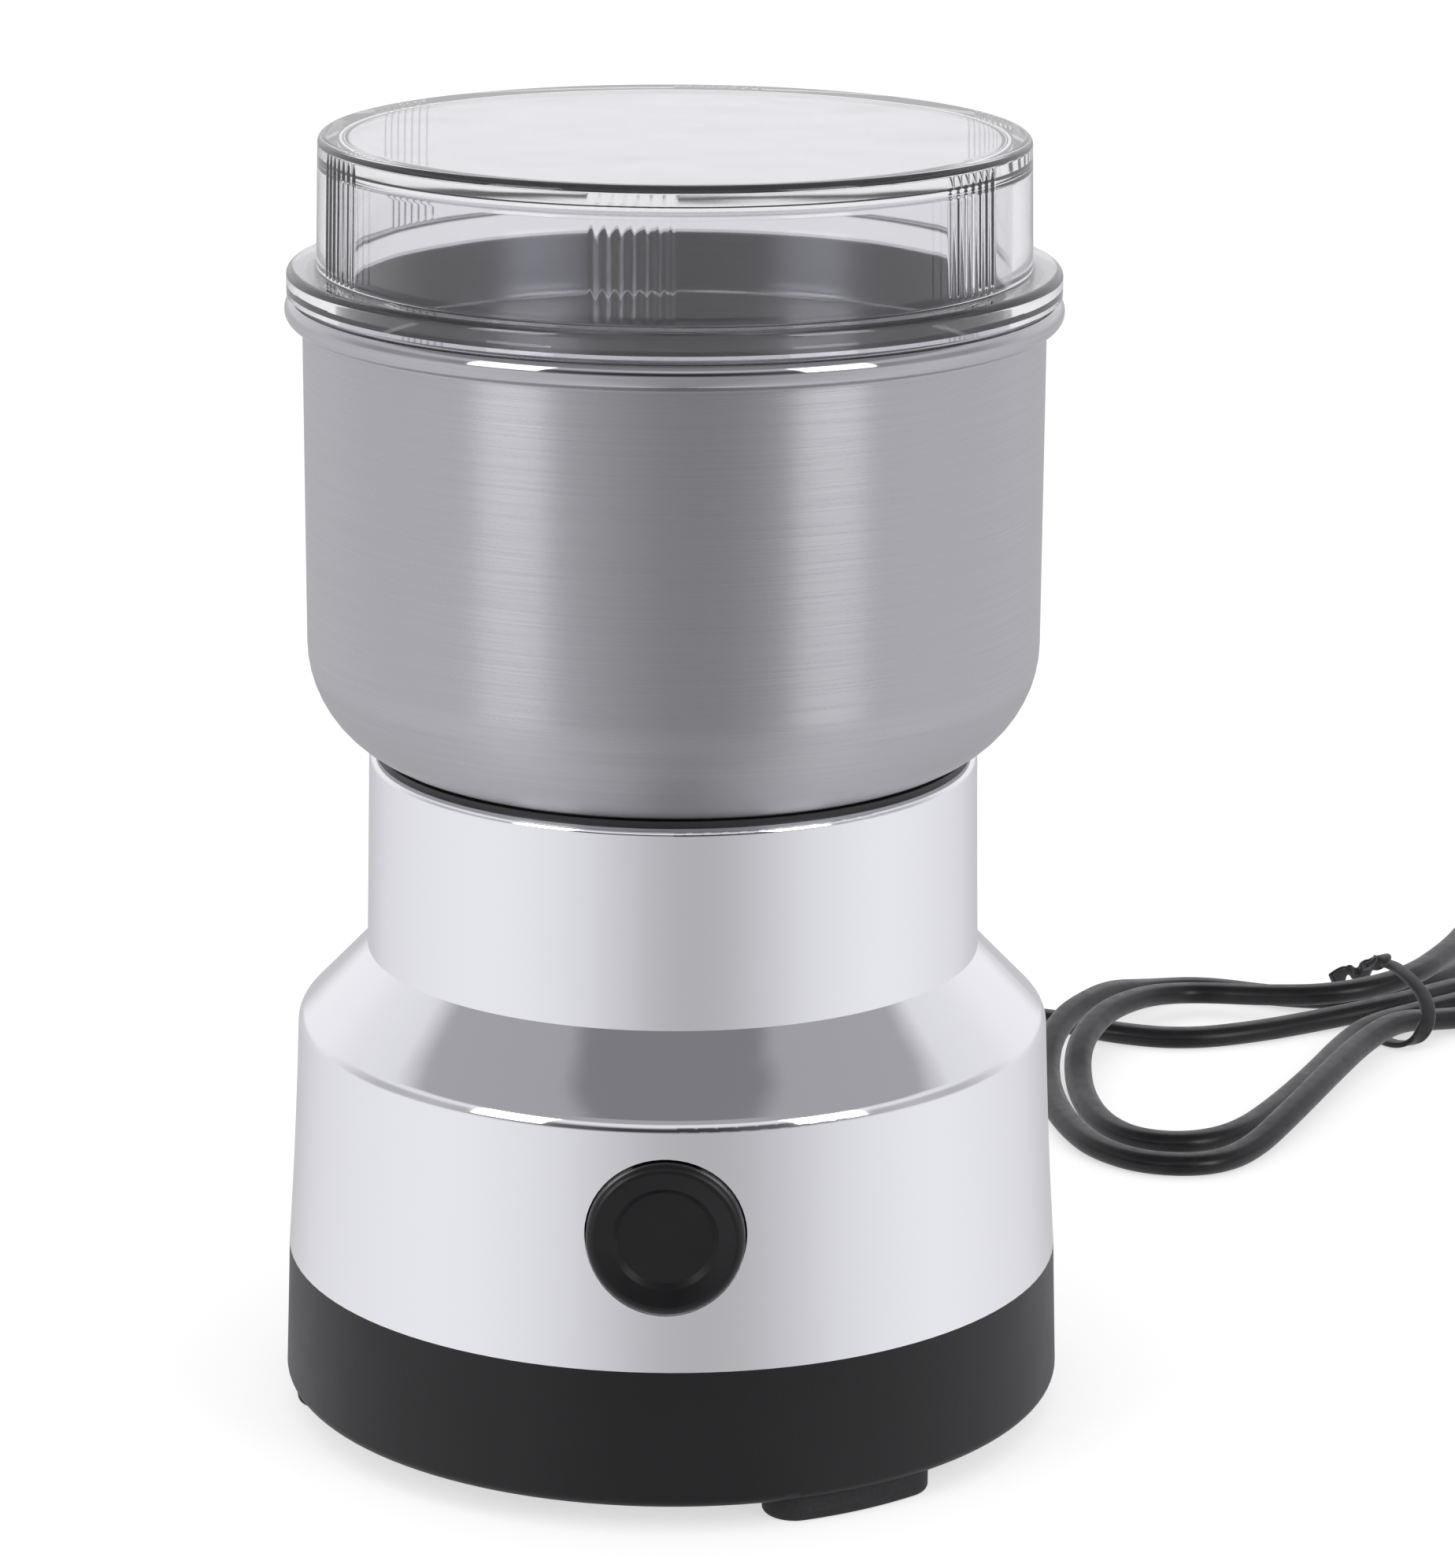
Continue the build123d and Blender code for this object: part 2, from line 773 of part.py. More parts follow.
with BuildPart() as shaft_seal:
    with BuildSketch(Plane.XZ):
        with BuildLine():
            Polyline(
                (shaft_r + seal_gap, nut_top_z),
                (seal_r, nut_top_z),
                (seal_r - seal_thick / 2, seal_top_z),
                (shaft_r + seal_gap, seal_top_z),
                close=True,
            )
        make_face()
    revolve(axis=Axis.Z)
finish(shaft_seal, "shaft_seal")

# ---------------------------------------------------------------- clear lid
# A drinking-glass shaped cover: a flange rests on the rim, a skirt drops inside it, and six groups of fine
# vertical ribs give the fingers a hold.
rib_foot_z = lid_flange_top_z + rib_margin
rib_top_z = lid_top_z - lid_top_round - rib_margin
rib_in = lid_wall / 2
wall_lean = (lid_wall_foot_r - lid_wall_top_r) / (lid_top_z - lid_seat_z)


def lid_wall_r(z):
    """Outer radius of the lid's tapered wall at a height."""
    return lid_wall_foot_r - wall_lean * (z - lid_seat_z)


with BuildPart() as rib:
    with BuildSketch(Plane.XZ):
        with BuildLine():
            Polyline(
                (lid_wall_r(rib_foot_z) - rib_in, rib_foot_z),
                (lid_wall_r(rib_foot_z) + rib_high, rib_foot_z),
                (lid_wall_r(rib_top_z) + rib_high, rib_top_z),
                (lid_wall_r(rib_top_z) - rib_in, rib_top_z),
                close=True,
            )
        make_face()
    extrude(amount=rib_width / 2, both=True)

with BuildPart() as clear_lid:
    with BuildSketch(Plane.XZ):
        with BuildLine():
            Polyline(
                (lid_wall_foot_r - lid_wall, lid_seat_z - lid_skirt),
                (lid_wall_foot_r, lid_seat_z - lid_skirt),
                (lid_wall_foot_r, lid_seat_z),
                (lid_flange_r, lid_seat_z),
                (lid_flange_r, lid_flange_top_z),
                (lid_wall_r(lid_flange_top_z), lid_flange_top_z),
                (lid_wall_top_r, lid_top_z),
                (0, lid_top_z),
                (0, lid_top_z - lid_top),
                (lid_wall_top_r - lid_wall, lid_top_z - lid_top),
                close=True,
            )
        make_face()
        fillet(corner_at(lid_wall_top_r, lid_top_z), lid_top_round)
        fillet(corner_at(lid_flange_r, lid_flange_top_z), lid_flange_round)
        fillet(corner_at(lid_wall_top_r - lid_wall, lid_top_z - lid_top), lid_inner_round)
    revolve(axis=Axis.Z)
    with PolarLocations(0, rib_groups, start_angle=rib_group_start):
        with PolarLocations(
            0,
            ribs_per_group,
            start_angle=-rib_pitch_deg * (ribs_per_group - 1) / 2,
            angular_range=rib_pitch_deg * (ribs_per_group - 1),
            endpoint=True,
        ):
            add(rib.part)
finish(clear_lid, "clear_lid")

# ---------------------------------------------------------------- motor brackets, bushes and screws
# The upper bracket is a cast plate with a hollow threaded neck: the bowl's floor is clamped on it and the
# shaft's upper bush is pressed into it. Two legs reach down to the stator.
with BuildPart() as upper_bracket:
    with BuildSketch(Plane.XY.offset(flange_bottom_z)):
        Circle(flange_r)
        for middle in (0, 180):
            with PolarLocations(
                window_circle_r,
                windows_per_side,
                start_angle=middle - window_step,
                angular_range=2 * window_step,
                endpoint=True,
            ):
                Circle(window_r, mode=Mode.SUBTRACT)
    extrude(amount=flange_thick)
    with BuildSketch(Plane.XY.offset(upper_bearing_z)):
        Circle(bearing_housing_r)
    extrude(amount=bowl_bottom_z - upper_bearing_z)
    with BuildSketch(Plane.XY.offset(flange_top_z)):
        Circle(washer_r)
    extrude(amount=bowl_bottom_z - flange_top_z)
    with BuildSketch(Plane.XY.offset(bowl_bottom_z)):
        Circle(hub_bore_r - fit_clearance)
    extrude(amount=nut_top_z - bowl_bottom_z)
    with BuildSketch(Plane.XY.offset(flange_bottom_z)):
        with stator_bolt_places():
            Circle(leg_r)
    extrude(amount=-leg_up)
    with BuildSketch(Plane.XY.offset(stator_top_z)):
        with stator_bolt_places():
            Circle(stator_bolt_r + fit_clearance)
    extrude(amount=leg_up, mode=Mode.SUBTRACT)
    with BuildSketch(Plane.XY.offset(upper_bearing_z)):
        Circle(bush_bearing_r + fit_clearance)
    extrude(amount=upper_bearing_length, mode=Mode.SUBTRACT)
    with BuildSketch(Plane.XY.offset(flange_bottom_z)):
        with motor_screw_places():
            Circle(motor_screw_r + fit_clearance)
    extrude(amount=flange_thick, mode=Mode.SUBTRACT)
finish(upper_bracket, "upper_bracket")

with BuildPart() as motor_bushes:
    with BuildSketch(Plane.XY.offset(shelf_top_z)):
        with motor_screw_places():
            Circle(bush_r)
            Circle(motor_screw_r + fit_clearance, mode=Mode.SUBTRACT)
    extrude(amount=bush_thick)
finish(motor_bushes, "motor_bushes")

screws(
    "motor_screws",
    Plane.XY.offset(flange_top_z),
    motor_screw_places,
    1,
    motor_screw_head_r,
    motor_screw_head,
    motor_screw_r,
    motor_screw_length,
)

# The lower bracket is a cross: a strap with two legs under the stator, and two arms that carry the brushes.
brush_box_y = brush_wide / 2 + brush_gap + brush_box_wall
brush_box_z = brush_high / 2 + brush_gap + brush_box_wall
brush_box_x = commutator_r + brush_box_gap

with BuildPart() as lower_bracket:
    with BuildSketch(Plane.XY.offset(bridge_bottom_z)):
        Rectangle(bridge_wide, 2 * stator_bolt_y)
        Rectangle(2 * bridge_reach, bridge_wide)
        with stator_bolt_places():
            Circle(bridge_wide / 2)
    extrude(amount=bridge_thick)
    with BuildSketch(Plane.XY.offset(bridge_top_z)):
        with stator_bolt_places():
            Circle(leg_r)
    extrude(amount=leg_down)
    with BuildSketch(Plane.XY.offset(bridge_top_z)):
        Rectangle(2 * bridge_reach, 2 * brush_box_y)
        Circle(brush_box_x, mode=Mode.SUBTRACT)
    extrude(amount=brush_z - brush_box_z - bridge_top_z)
    with BuildSketch(Plane.XY.offset(lower_bearing_z)):
        Circle(bearing_housing_r)
    extrude(amount=lower_bearing_length)
    with BuildSketch(Plane.XY.offset(lower_bearing_z)):
        Circle(bush_bearing_r + fit_clearance)
    extrude(amount=lower_bearing_length, mode=Mode.SUBTRACT)
    with BuildSketch(Plane.XY.offset(bridge_bottom_z)):
        with stator_bolt_places():
            Circle(stator_bolt_r + fit_clearance)
    extrude(amount=bridge_thick + leg_down, mode=Mode.SUBTRACT)
finish(lower_bracket, "lower_bracket")

screws(
    "stator_bolts",
    Plane.XY.offset(bridge_bottom_z),
    stator_bolt_places,
    -1,
    stator_bolt_head_r,
    stator_bolt_head,
    stator_bolt_r,
    stator_top_z + leg_up / 2 - bridge_bottom_z,
)

for bearing_name, bearing_z, bearing_length in (
    ("upper_bearing", upper_bearing_z, upper_bearing_length),
    ("lower_bearing", lower_bearing_z, lower_bearing_length),
):
    with BuildPart() as bearing:
        with BuildSketch(Plane.XY.offset(bearing_z)):
            Circle(bush_bearing_r)
            Circle(shaft_r + shaft_gap, mode=Mode.SUBTRACT)
        extrude(amount=bearing_length)
    finish(bearing, bearing_name)

# ---------------------------------------------------------------- stator and field coils
# A two-pole lamination stack with flats in front and behind; one coil sits on each pole.
with BuildPart() as stator_core:
    with BuildSketch(Plane.XY.offset(stator_bottom_z)) as yoke:
        Circle(stator_r)
        Rectangle(2 * stator_r, 2 * stator_flat, mode=Mode.INTERSECT)
        RectangleRounded(
            2 * stator_window_x, 2 * stator_window_y, stator_window_round, mode=Mode.SUBTRACT
        )
        with stator_bolt_places():
            Circle(stator_bolt_r + fit_clearance, mode=Mode.SUBTRACT)
    extrude(amount=stator_height)
    with BuildSketch(Plane.XY.offset(stator_bottom_z)):
        Circle(stator_bore_r + pole_shoe)
        for way in (-1, 1):
            side = way * 2 * stator_r * math.tan(math.radians(90 - pole_span))
            wedge = [(0, 0), (side, way * 2 * stator_r), (-side, way * 2 * stator_r)]
            Polygon(*wedge, align=None, mode=Mode.SUBTRACT)
        Rectangle(2 * stator_window_x, 2 * pole_half)
        Circle(stator_bore_r, mode=Mode.SUBTRACT)
    extrude(amount=stator_height)
finish(stator_core, "stator_core")

coil_inner_x = stator_bore_r + pole_shoe + coil_gap
coil_middle_z = (stator_top_z + stator_bottom_z) / 2
with BuildPart() as field_coils:
    for way in (-1, 1):
        with BuildSketch(Plane.YZ.offset(way * coil_inner_x)):
            with Locations((0, coil_middle_z)):
                RectangleRounded(
                    2 * (pole_half + coil_gap + coil_thick), stator_height + 2 * coil_overhang, coil_overhang
                )
                Rectangle(2 * (pole_half + coil_gap), stator_height + 2 * coil_gap, mode=Mode.SUBTRACT)
        extrude(amount=way * (stator_window_x - coil_gap - coil_inner_x))
finish(field_coils, "field_coils")

# ---------------------------------------------------------------- brushes
# Two brass boxes lie on the lower bracket's arms; a spring in each pushes its carbon block to the commutator.
with BuildPart() as brush_boxes:
    for way in (-1, 1):
        with BuildSketch(Plane.YZ.offset(way * brush_box_x)):
            with Locations((0, brush_z)):
                Rectangle(2 * brush_box_y, 2 * brush_box_z)
        extrude(amount=way * brush_box_long)
        with BuildSketch(Plane.YZ.offset(way * brush_box_x)):
            with Locations((0, brush_z)):
                Rectangle(brush_wide + 2 * brush_gap, brush_high + 2 * brush_gap)
        extrude(amount=way * (brush_box_long - brush_box_wall), mode=Mode.SUBTRACT)
finish(brush_boxes, "brush_boxes")

brush_back_x = commutator_r + brush_gap + brush_long
with BuildPart() as carbon_brushes:
    for way in (-1, 1):
        with BuildSketch(Plane.YZ.offset(way * brush_back_x)):
            with Locations((0, brush_z)):
                Rectangle(brush_wide, brush_high)
        extrude(amount=-way * (brush_long + brush_gap + brush_box_gap))
    with BuildSketch(Plane.XY.offset(brush_z - brush_high / 2)):
        Circle(commutator_r + brush_gap)
    extrude(amount=brush_high, mode=Mode.SUBTRACT)
finish(carbon_brushes, "carbon_brushes")

brush_spring_length = brush_box_x + brush_box_long - brush_box_wall - brush_back_x - 2 * fit_clearance
brush_spring_x = brush_back_x + fit_clearance
with BuildPart() as brush_springs:
    for way in (-1, 1):
        add(
            coil_spring(
                (way * brush_spring_x, 0, brush_z),
                (way, 0, 0),
                brush_spring_length,
                brush_spring_r,
                brush_spring_wire_r,
                brush_spring_turns,
            )
        )
finish(brush_springs, "brush_springs")

# ---------------------------------------------------------------- rotor
# Shaft, slotted armature with its winding, commutator and cooling fan, and thrust washers at the bushes.
with BuildPart() as motor_shaft:
    with BuildSketch(Plane.XY.offset(shaft_bottom_z)):
        Circle(shaft_r)
    extrude(amount=blade_z - spindle_under - shaft_bottom_z)
    with BuildSketch(Plane.XY.offset(blade_z - spindle_under)):
        Circle(spindle_r)
    extrude(amount=shaft_top_z - blade_z + spindle_under)
    chamfer(edges().sort_by(Axis.Z)[-1], shaft_r - spindle_r)
finish(motor_shaft, "motor_shaft")

with BuildPart() as armature_core:
    with BuildSketch(Plane.XY.offset(stator_bottom_z)):
        Circle(armature_r)
        Circle(shaft_r + fit_clearance, mode=Mode.SUBTRACT)
        with PolarLocations(slot_circle_r, slot_count):
            Circle(slot_r, mode=Mode.SUBTRACT)
            with Locations((armature_r - slot_circle_r, 0)):
                Rectangle(2 * slot_r, slot_mouth, mode=Mode.SUBTRACT)
    extrude(amount=stator_height)
finish(armature_core, "armature_core")

with BuildPart() as armature_winding:
    with BuildSketch(Plane.XY.offset(stator_top_z)):
        Circle(winding_r)
        Circle(shaft_r + slot_r, mode=Mode.SUBTRACT)
    extrude(amount=winding_overhang_top)
    fillet(edges().group_by(Axis.Z)[-1].sort_by(SortBy.RADIUS)[-1], slot_r)
    with BuildSketch(Plane.XY.offset(stator_bottom_z)):
        Circle(winding_r)
        Circle(shaft_r + slot_r, mode=Mode.SUBTRACT)
    extrude(amount=-winding_overhang_bottom)
    with BuildSketch(Plane.XY.offset(stator_bottom_z)):
        with PolarLocations(slot_circle_r, slot_count):
            Circle(slot_r - fit_clearance)
    extrude(amount=stator_height)
finish(armature_winding, "armature_winding")

with BuildPart() as commutator:
    with BuildSketch(Plane.XY.offset(commutator_z)):
        Circle(commutator_r)
        Circle(shaft_r + fit_clearance, mode=Mode.SUBTRACT)
        with PolarLocations(commutator_r, commutator_bars):
            Rectangle(2 * commutator_cut, commutator_cut, mode=Mode.SUBTRACT)
    extrude(amount=commutator_length)
finish(commutator, "commutator")

with BuildPart() as thrust_washers:
    for washer_z in (
        lower_bearing_z - shaft_gap - thrust_washer_thick,
        lower_bearing_top_z + shaft_gap,
        upper_bearing_z - shaft_gap - thrust_washer_thick,
    ):
        with BuildSketch(Plane.XY.offset(washer_z)):
            Circle(thrust_washer_r)
            Circle(shaft_r + fit_clearance, mode=Mode.SUBTRACT)
        extrude(amount=thrust_washer_thick)
finish(thrust_washers, "thrust_washers")

with BuildPart() as cooling_fan:
    with BuildSketch(Plane.XY.offset(fan_top_z)):
        Circle(fan_r)
    extrude(amount=-fan_plate)
    with BuildSketch(Plane.XY.offset(fan_top_z)):
        Circle(fan_hub_r)
        with PolarLocations(0, fan_blades):
            with Locations(((fan_hub_r + fan_r) / 2 - fan_blade_t / 2, 0)):
                Rectangle(fan_r - fan_hub_r, fan_blade_t)
    extrude(amount=-fan_height)
    with BuildSketch(Plane.XY.offset(fan_top_z)):
        Circle(shaft_r + fit_clearance)
    extrude(amount=-fan_height, mode=Mode.SUBTRACT)
finish(cooling_fan, "cooling_fan")

# ---------------------------------------------------------------- blade
# A two-winged steel blade, bent up beyond the hub and sharpened, screwed down on a moulded hub.
with BuildPart() as blade_hub:
    with BuildSketch(Plane.XY.offset(hub_bottom_z)):
        Circle(blade_hub_r)
    extrude(amount=blade_hub_height)
    chamfer(edges().group_by(Axis.Z)[-1], blade_hub_height / 4)
    with BuildSketch(Plane.XY.offset(hub_bottom_z)):
        Circle(shaft_r + fit_clearance)
    extrude(amount=blade_hub_height, mode=Mode.SUBTRACT)
finish(blade_hub, "blade_hub")

with BuildPart() as grinding_blade:
    with BuildSketch(Plane.XZ):
        with BuildLine():
            Polyline(
                (0, blade_z),
                (blade_bend_r, blade_z),
                (blade_span_r, blade_z + blade_lift),
                (blade_span_r, blade_z + blade_lift + blade_thick),
                (blade_bend_r, blade_z + blade_thick),
                (0, blade_z + blade_thick),
                close=True,
            )
        make_face()
        mirror(about=Plane.YZ)
    extrude(amount=blade_wide / 2, both=True)
    with BuildSketch(Plane.XY.offset(blade_z)):
        with BuildLine():
            Polyline(
                (-blade_bend_r, blade_wide / 2),
                (blade_bend_r, blade_wide / 2),
                (blade_span_r - blade_tip, blade_wide / 4),
                (blade_span_r, 0),
                (blade_span_r - blade_wide / 2, blade_edge - blade_wide / 2),
                (blade_bend_r, -blade_wide / 2),
                (-blade_bend_r, -blade_wide / 2),
                (blade_tip - blade_span_r, -blade_wide / 4),
                (-blade_span_r, 0),
                (blade_wide / 2 - blade_span_r, blade_wide / 2 - blade_edge),
                close=True,
            )
        make_face()
    extrude(amount=blade_lift + 2 * blade_thick, mode=Mode.INTERSECT)
    with BuildSketch(Plane.XY.offset(blade_z)):
        Circle(spindle_r + fit_clearance)
    extrude(amount=blade_thick, mode=Mode.SUBTRACT)
finish(grinding_blade, "grinding_blade")

with BuildPart() as blade_nut:
    with BuildSketch(Plane.XY.offset(blade_nut_z)):
        RegularPolygon(blade_nut_flats / 2, 6, major_radius=False)
    extrude(amount=blade_nut_height)
    chamfer(edges().group_by(Axis.Z)[-1], nut_chamfer)
    with BuildSketch(Plane.XY.offset(blade_nut_z)):
        Circle(spindle_r + fit_clearance)
    extrude(amount=blade_nut_height - blade_nut_cap, mode=Mode.SUBTRACT)
finish(blade_nut, "blade_nut")

# ---------------------------------------------------------------- power button and switch
# A dished cap slides in the housing's collar on a coil spring. Its stem works the switch's plunger.
button_axis = Axis((0, 0, button_z), (0, 1, 0))
button_plane = Plane(origin=(0, 0, button_z), x_dir=(1, 0, 0), z_dir=(0, 0, 1))
dish_wall_r = button_dish_r - button_dish + button_rim_slope

with BuildPart() as power_button:
    with BuildSketch(button_plane):
        with BuildLine():
            Polyline(
                (0, button_dish - button_front),
                (dish_wall_r, button_dish - button_front),
                (button_dish_r, button_rim_slope - button_front),
                (button_r - button_round, -button_front),
                (button_r, -button_front),
                (button_r, -flange_front),
                (button_flange_r, -flange_front),
                (button_flange_r, -flange_back),
                (button_r - button_skirt, -flange_back),
                (button_r - button_skirt, -cup_floor),
                (button_stem_r, -cup_floor),
                (button_stem_r, -stem_tip),
                (0, -stem_tip),
                close=True,
            )
        make_face()
    revolve(axis=button_axis)
    front_edges = edges().filter_by(GeomType.CIRCLE).group_by(Axis.Y)[0]
    fillet(front_edges.sort_by(SortBy.RADIUS)[-1], button_round - fit_clearance)
finish(power_button, "power_button")

with BuildPart() as button_spring:
    add(
        coil_spring(
            (0, -holder_front - fit_clearance, button_z),
            (0, -1, 0),
            holder_gap - 2 * fit_clearance,
            spring_r,
            spring_wire_r,
            spring_turns,
        )
    )
finish(button_spring, "button_spring")

with BuildPart() as switch_holder:
    with BuildSketch(Plane.XZ.offset(holder_back)):
        with Locations((0, button_z)):
            RectangleRounded(2 * (holder_boss_x + holder_boss_r), holder_high, holder_boss_r)
            Circle(button_stem_r + stem_gap, mode=Mode.SUBTRACT)
        with holder_screw_places():
            Circle(holder_screw_r + fit_clearance, mode=Mode.SUBTRACT)
    extrude(amount=holder_thick)
    clip_z = switch_high / 2 + fit_clearance + clip_thick / 2
    with BuildSketch(Plane.XZ.offset(holder_back)):
        with Locations((0, button_z - clip_z), (0, button_z + clip_z)):
            Rectangle(clip_wide, clip_thick)
    extrude(amount=-clip_long)
finish(switch_holder, "switch_holder")

screws(
    "holder_screws",
    Plane.XZ.offset(holder_back),
    holder_screw_places,
    -1,
    holder_screw_head_r,
    holder_screw_head,
    holder_screw_r,
    holder_screw_length,
)

plunger_reach = plunger_length - plunger_proud + button_travel + stop_gap
with BuildPart() as switch_body:
    with BuildSketch(Plane.XZ.offset(switch_back)):
        with Locations((0, button_z)):
            Rectangle(switch_long, switch_high)
    extrude(amount=switch_deep)
    with BuildSketch(Plane.XZ.offset(holder_back)):
        with Locations((0, button_z)):
            Circle(plunger_r + fit_clearance)
    extrude(amount=-plunger_reach, mode=Mode.SUBTRACT)
finish(switch_body, "switch_body")

with BuildPart() as switch_plunger:
    with BuildSketch(Plane.XZ.offset(plunger_tip)):
        with Locations((0, button_z)):
            Circle(plunger_r)
    extrude(amount=-plunger_length)
finish(switch_plunger, "switch_plunger")

with BuildPart() as switch_terminals:
    with BuildSketch(Plane.XZ.offset(switch_back)):
        with Locations((-terminal_pitch, button_z), (0, button_z), (terminal_pitch, button_z)):
            Rectangle(terminal_thick, terminal_wide)
    extrude(amount=-terminal_long)
finish(switch_terminals, "switch_terminals")

# ---------------------------------------------------------------- cord entry
# The strain relief snaps into the base's back wall; inside, a two-screw clamp holds the cord on its saddle.
relief_out_y = base_r + fit_clearance
relief_tip_y = relief_out_y + relief_flange + relief_boot
catch_y = lip_outer_r - fit_clearance
relief_in_y = catch_y - relief_catch
relief_axis = Axis((0, 0, cord_exit_z), (0, 1, 0))
relief_plane = Plane(origin=(0, 0, cord_exit_z), x_dir=(1, 0, 0), z_dir=(0, 0, 1))

boot_profile = [(relief_r, relief_out_y + relief_flange)]
boot_step = relief_boot / (2 * relief_ribs + 1)
for rib_number in range(relief_ribs):
    for edge in (1, 2):
        rib_y = relief_out_y + relief_flange + (2 * rib_number + edge) * boot_step
        rib_r = relief_r + (relief_tip_r - relief_r) * (2 * rib_number + edge) / (2 * relief_ribs + 1)
        outer, inner = (rib_r, rib_y), (rib_r - relief_groove, rib_y)
        boot_profile += [outer, inner] if edge == 1 else [inner, outer]

with BuildPart() as strain_relief:
    with BuildSketch(relief_plane):
        with BuildLine():
            Polyline(
                (0, relief_in_y),
                (relief_catch_r, relief_in_y),
                (relief_catch_r, catch_y),
                (relief_r, catch_y),
                (relief_r, relief_out_y),
                (relief_flange_r, relief_out_y),
                (relief_flange_r, relief_out_y + relief_flange),
                *boot_profile,
                (relief_tip_r, relief_tip_y),
                (0, relief_tip_y),
                close=True,
            )
        make_face()
    revolve(axis=relief_axis)
finish(strain_relief, "strain_relief")

with BuildPart() as cord_inner:
    with BuildSketch(Plane.XZ.offset(-relief_in_y)):
        with Locations((0, cord_exit_z)):
            Circle(cord_r)
    extrude(amount=relief_in_y - cord_inner_y)
finish(cord_inner, "cord_inner")

clamp_bottom_z = cord_exit_z + clamp_pinch
clamp_top_z = clamp_split_z + clamp_high
with BuildPart() as cord_clamp:
    with BuildSketch(Plane.XY.offset(clamp_bottom_z)):
        with Locations((0, clamp_y)):
            Rectangle(clamp_long, clamp_wide)
        with clamp_screw_places():
            Circle(clamp_screw_r + fit_clearance, mode=Mode.SUBTRACT)
    extrude(amount=clamp_top_z - clamp_bottom_z)
    with BuildSketch(Plane.XZ.offset(clamp_wide / 2 - clamp_y)):
        with Locations((0, cord_exit_z)):
            Circle(cord_r + fit_clearance)
    extrude(amount=-clamp_wide, mode=Mode.SUBTRACT)
finish(cord_clamp, "cord_clamp")

screws(
    "clamp_screws",
    Plane.XY.offset(clamp_top_z),
    clamp_screw_places,
    1,
    clamp_screw_head_r,
    clamp_screw_head,
    clamp_screw_r,
    clamp_screw_length - fit_clearance,
)

with BuildPart() as suppression_capacitor:
    with BuildSketch(Plane.XY.offset(floor_top_z)):
        with Locations(capacitor_at):
            Rectangle(capacitor_long, capacitor_deep, rotation=capacitor_turn)
    extrude(amount=capacitor_high)
    fillet(edges().filter_by(Axis.Z), lead_r)
finish(suppression_capacitor, "suppression_capacitor")

# internal leads: mains to the switch round the left of the motor, and both ends of the field
terminal_end_y = terminal_long - switch_back
lead_x = lead_r + fit_clearance
coil_x = (coil_inner_x + stator_window_x - coil_gap) / 2
coil_bottom_z = stator_bottom_z - coil_overhang
turn_up_z = coil_bottom_z - lead_turn_up
tube(
    "lead_live",
    [
        (-lead_x, cord_inner_y, cord_exit_z),
        (-lead_x, cord_inner_y - lead_straight, cord_exit_z),
        *lead_live_route,
        (-terminal_pitch, terminal_end_y + lead_straight, button_z),
        (-terminal_pitch, terminal_end_y, button_z),
    ],
    lead_r,
)
tube(
    "lead_neutral",
    [
        (lead_x, cord_inner_y, cord_exit_z),
        (lead_x, cord_inner_y - lead_straight, cord_exit_z),
        *lead_neutral_route,
        (coil_x, coil_end_y, turn_up_z),
        (coil_x, coil_end_y, coil_bottom_z),
    ],
    lead_r,
)
tube(
    "lead_motor",
    [
        (terminal_pitch, terminal_end_y, button_z),
        (terminal_pitch, terminal_end_y + lead_straight, button_z),
        *lead_motor_route,
        (coil_x, -coil_end_y, turn_up_z),
        (coil_x, -coil_end_y, coil_bottom_z),
    ],
    lead_r,
)

# ---------------------------------------------------------------- mains cord
# The lead runs from the strain relief down to the floor and round to a folded hank: two loops, tied at the
# waist between them. The plug lies beside it. The routes are chosen by hand.
cord_floor_z = cord_r + fit_clearance
tube(
    "cord_lead",
    [(0, relief_tip_y, cord_exit_z), *cord_drop, *((x, y, cord_floor_z) for x, y in cord_on_floor)],
    cord_r,
)

along = Vector(math.cos(math.radians(waist_turn)), math.sin(math.radians(waist_turn)))
across = Vector(-along.Y, along.X)


def waist(side_along, side_across):
    """A corner of the hank's waist, under the tie."""
    corner = Vector(*waist_at) + along * side_along * waist_long / 2 + across * side_across * waist_wide / 2
    return (corner.X, corner.Y)


hank_outline = [waist(-1, 1), *hank_near_loop, waist(-1, -1), waist(1, -1), *hank_far_loop, waist(1, 1)]
with BuildPart() as cord_hank:
    with BuildSketch(Plane.XY):
        with BuildLine():
            FilletPolyline(*hank_outline, radius=hank_corner_r, close=True)
        make_face()
    extrude(amount=hank_height)
    for eye in hank_eyes:
        with BuildSketch(Plane.XY):
            with BuildLine():
                FilletPolyline(*eye, radius=hank_eye_r, close=True)
            make_face()
        extrude(amount=hank_height, mode=Mode.SUBTRACT)
finish(cord_hank, "cord_hank")

# a wire tie arches over the waist, its two ends twisted together and laid down along the hank
tie_plane = Plane(origin=(*waist_at, 0), x_dir=across, z_dir=along)
tie_top_z = hank_height + fit_clearance + tie_wire
twist_at = Vector(*waist_at, tie_top_z) + Vector(across.X, across.Y) * waist_wide / 4
with BuildPart() as cord_tie:
    with BuildSketch(tie_plane):
        with Locations((0, tie_top_z / 2)):
            Rectangle(waist_wide + 2 * (fit_clearance + tie_wire), tie_top_z)
        with Locations((0, (tie_top_z - tie_wire) / 2)):
            Rectangle(waist_wide + 2 * fit_clearance, tie_top_z - tie_wire, mode=Mode.SUBTRACT)
    extrude(amount=tie_wide / 2, both=True)
    with BuildSketch(Plane(origin=twist_at, z_dir=Vector(-along.X, -along.Y))):
        Circle(tie_wire)
    extrude(amount=tie_twist)
finish(cord_tie, "cord_tie")

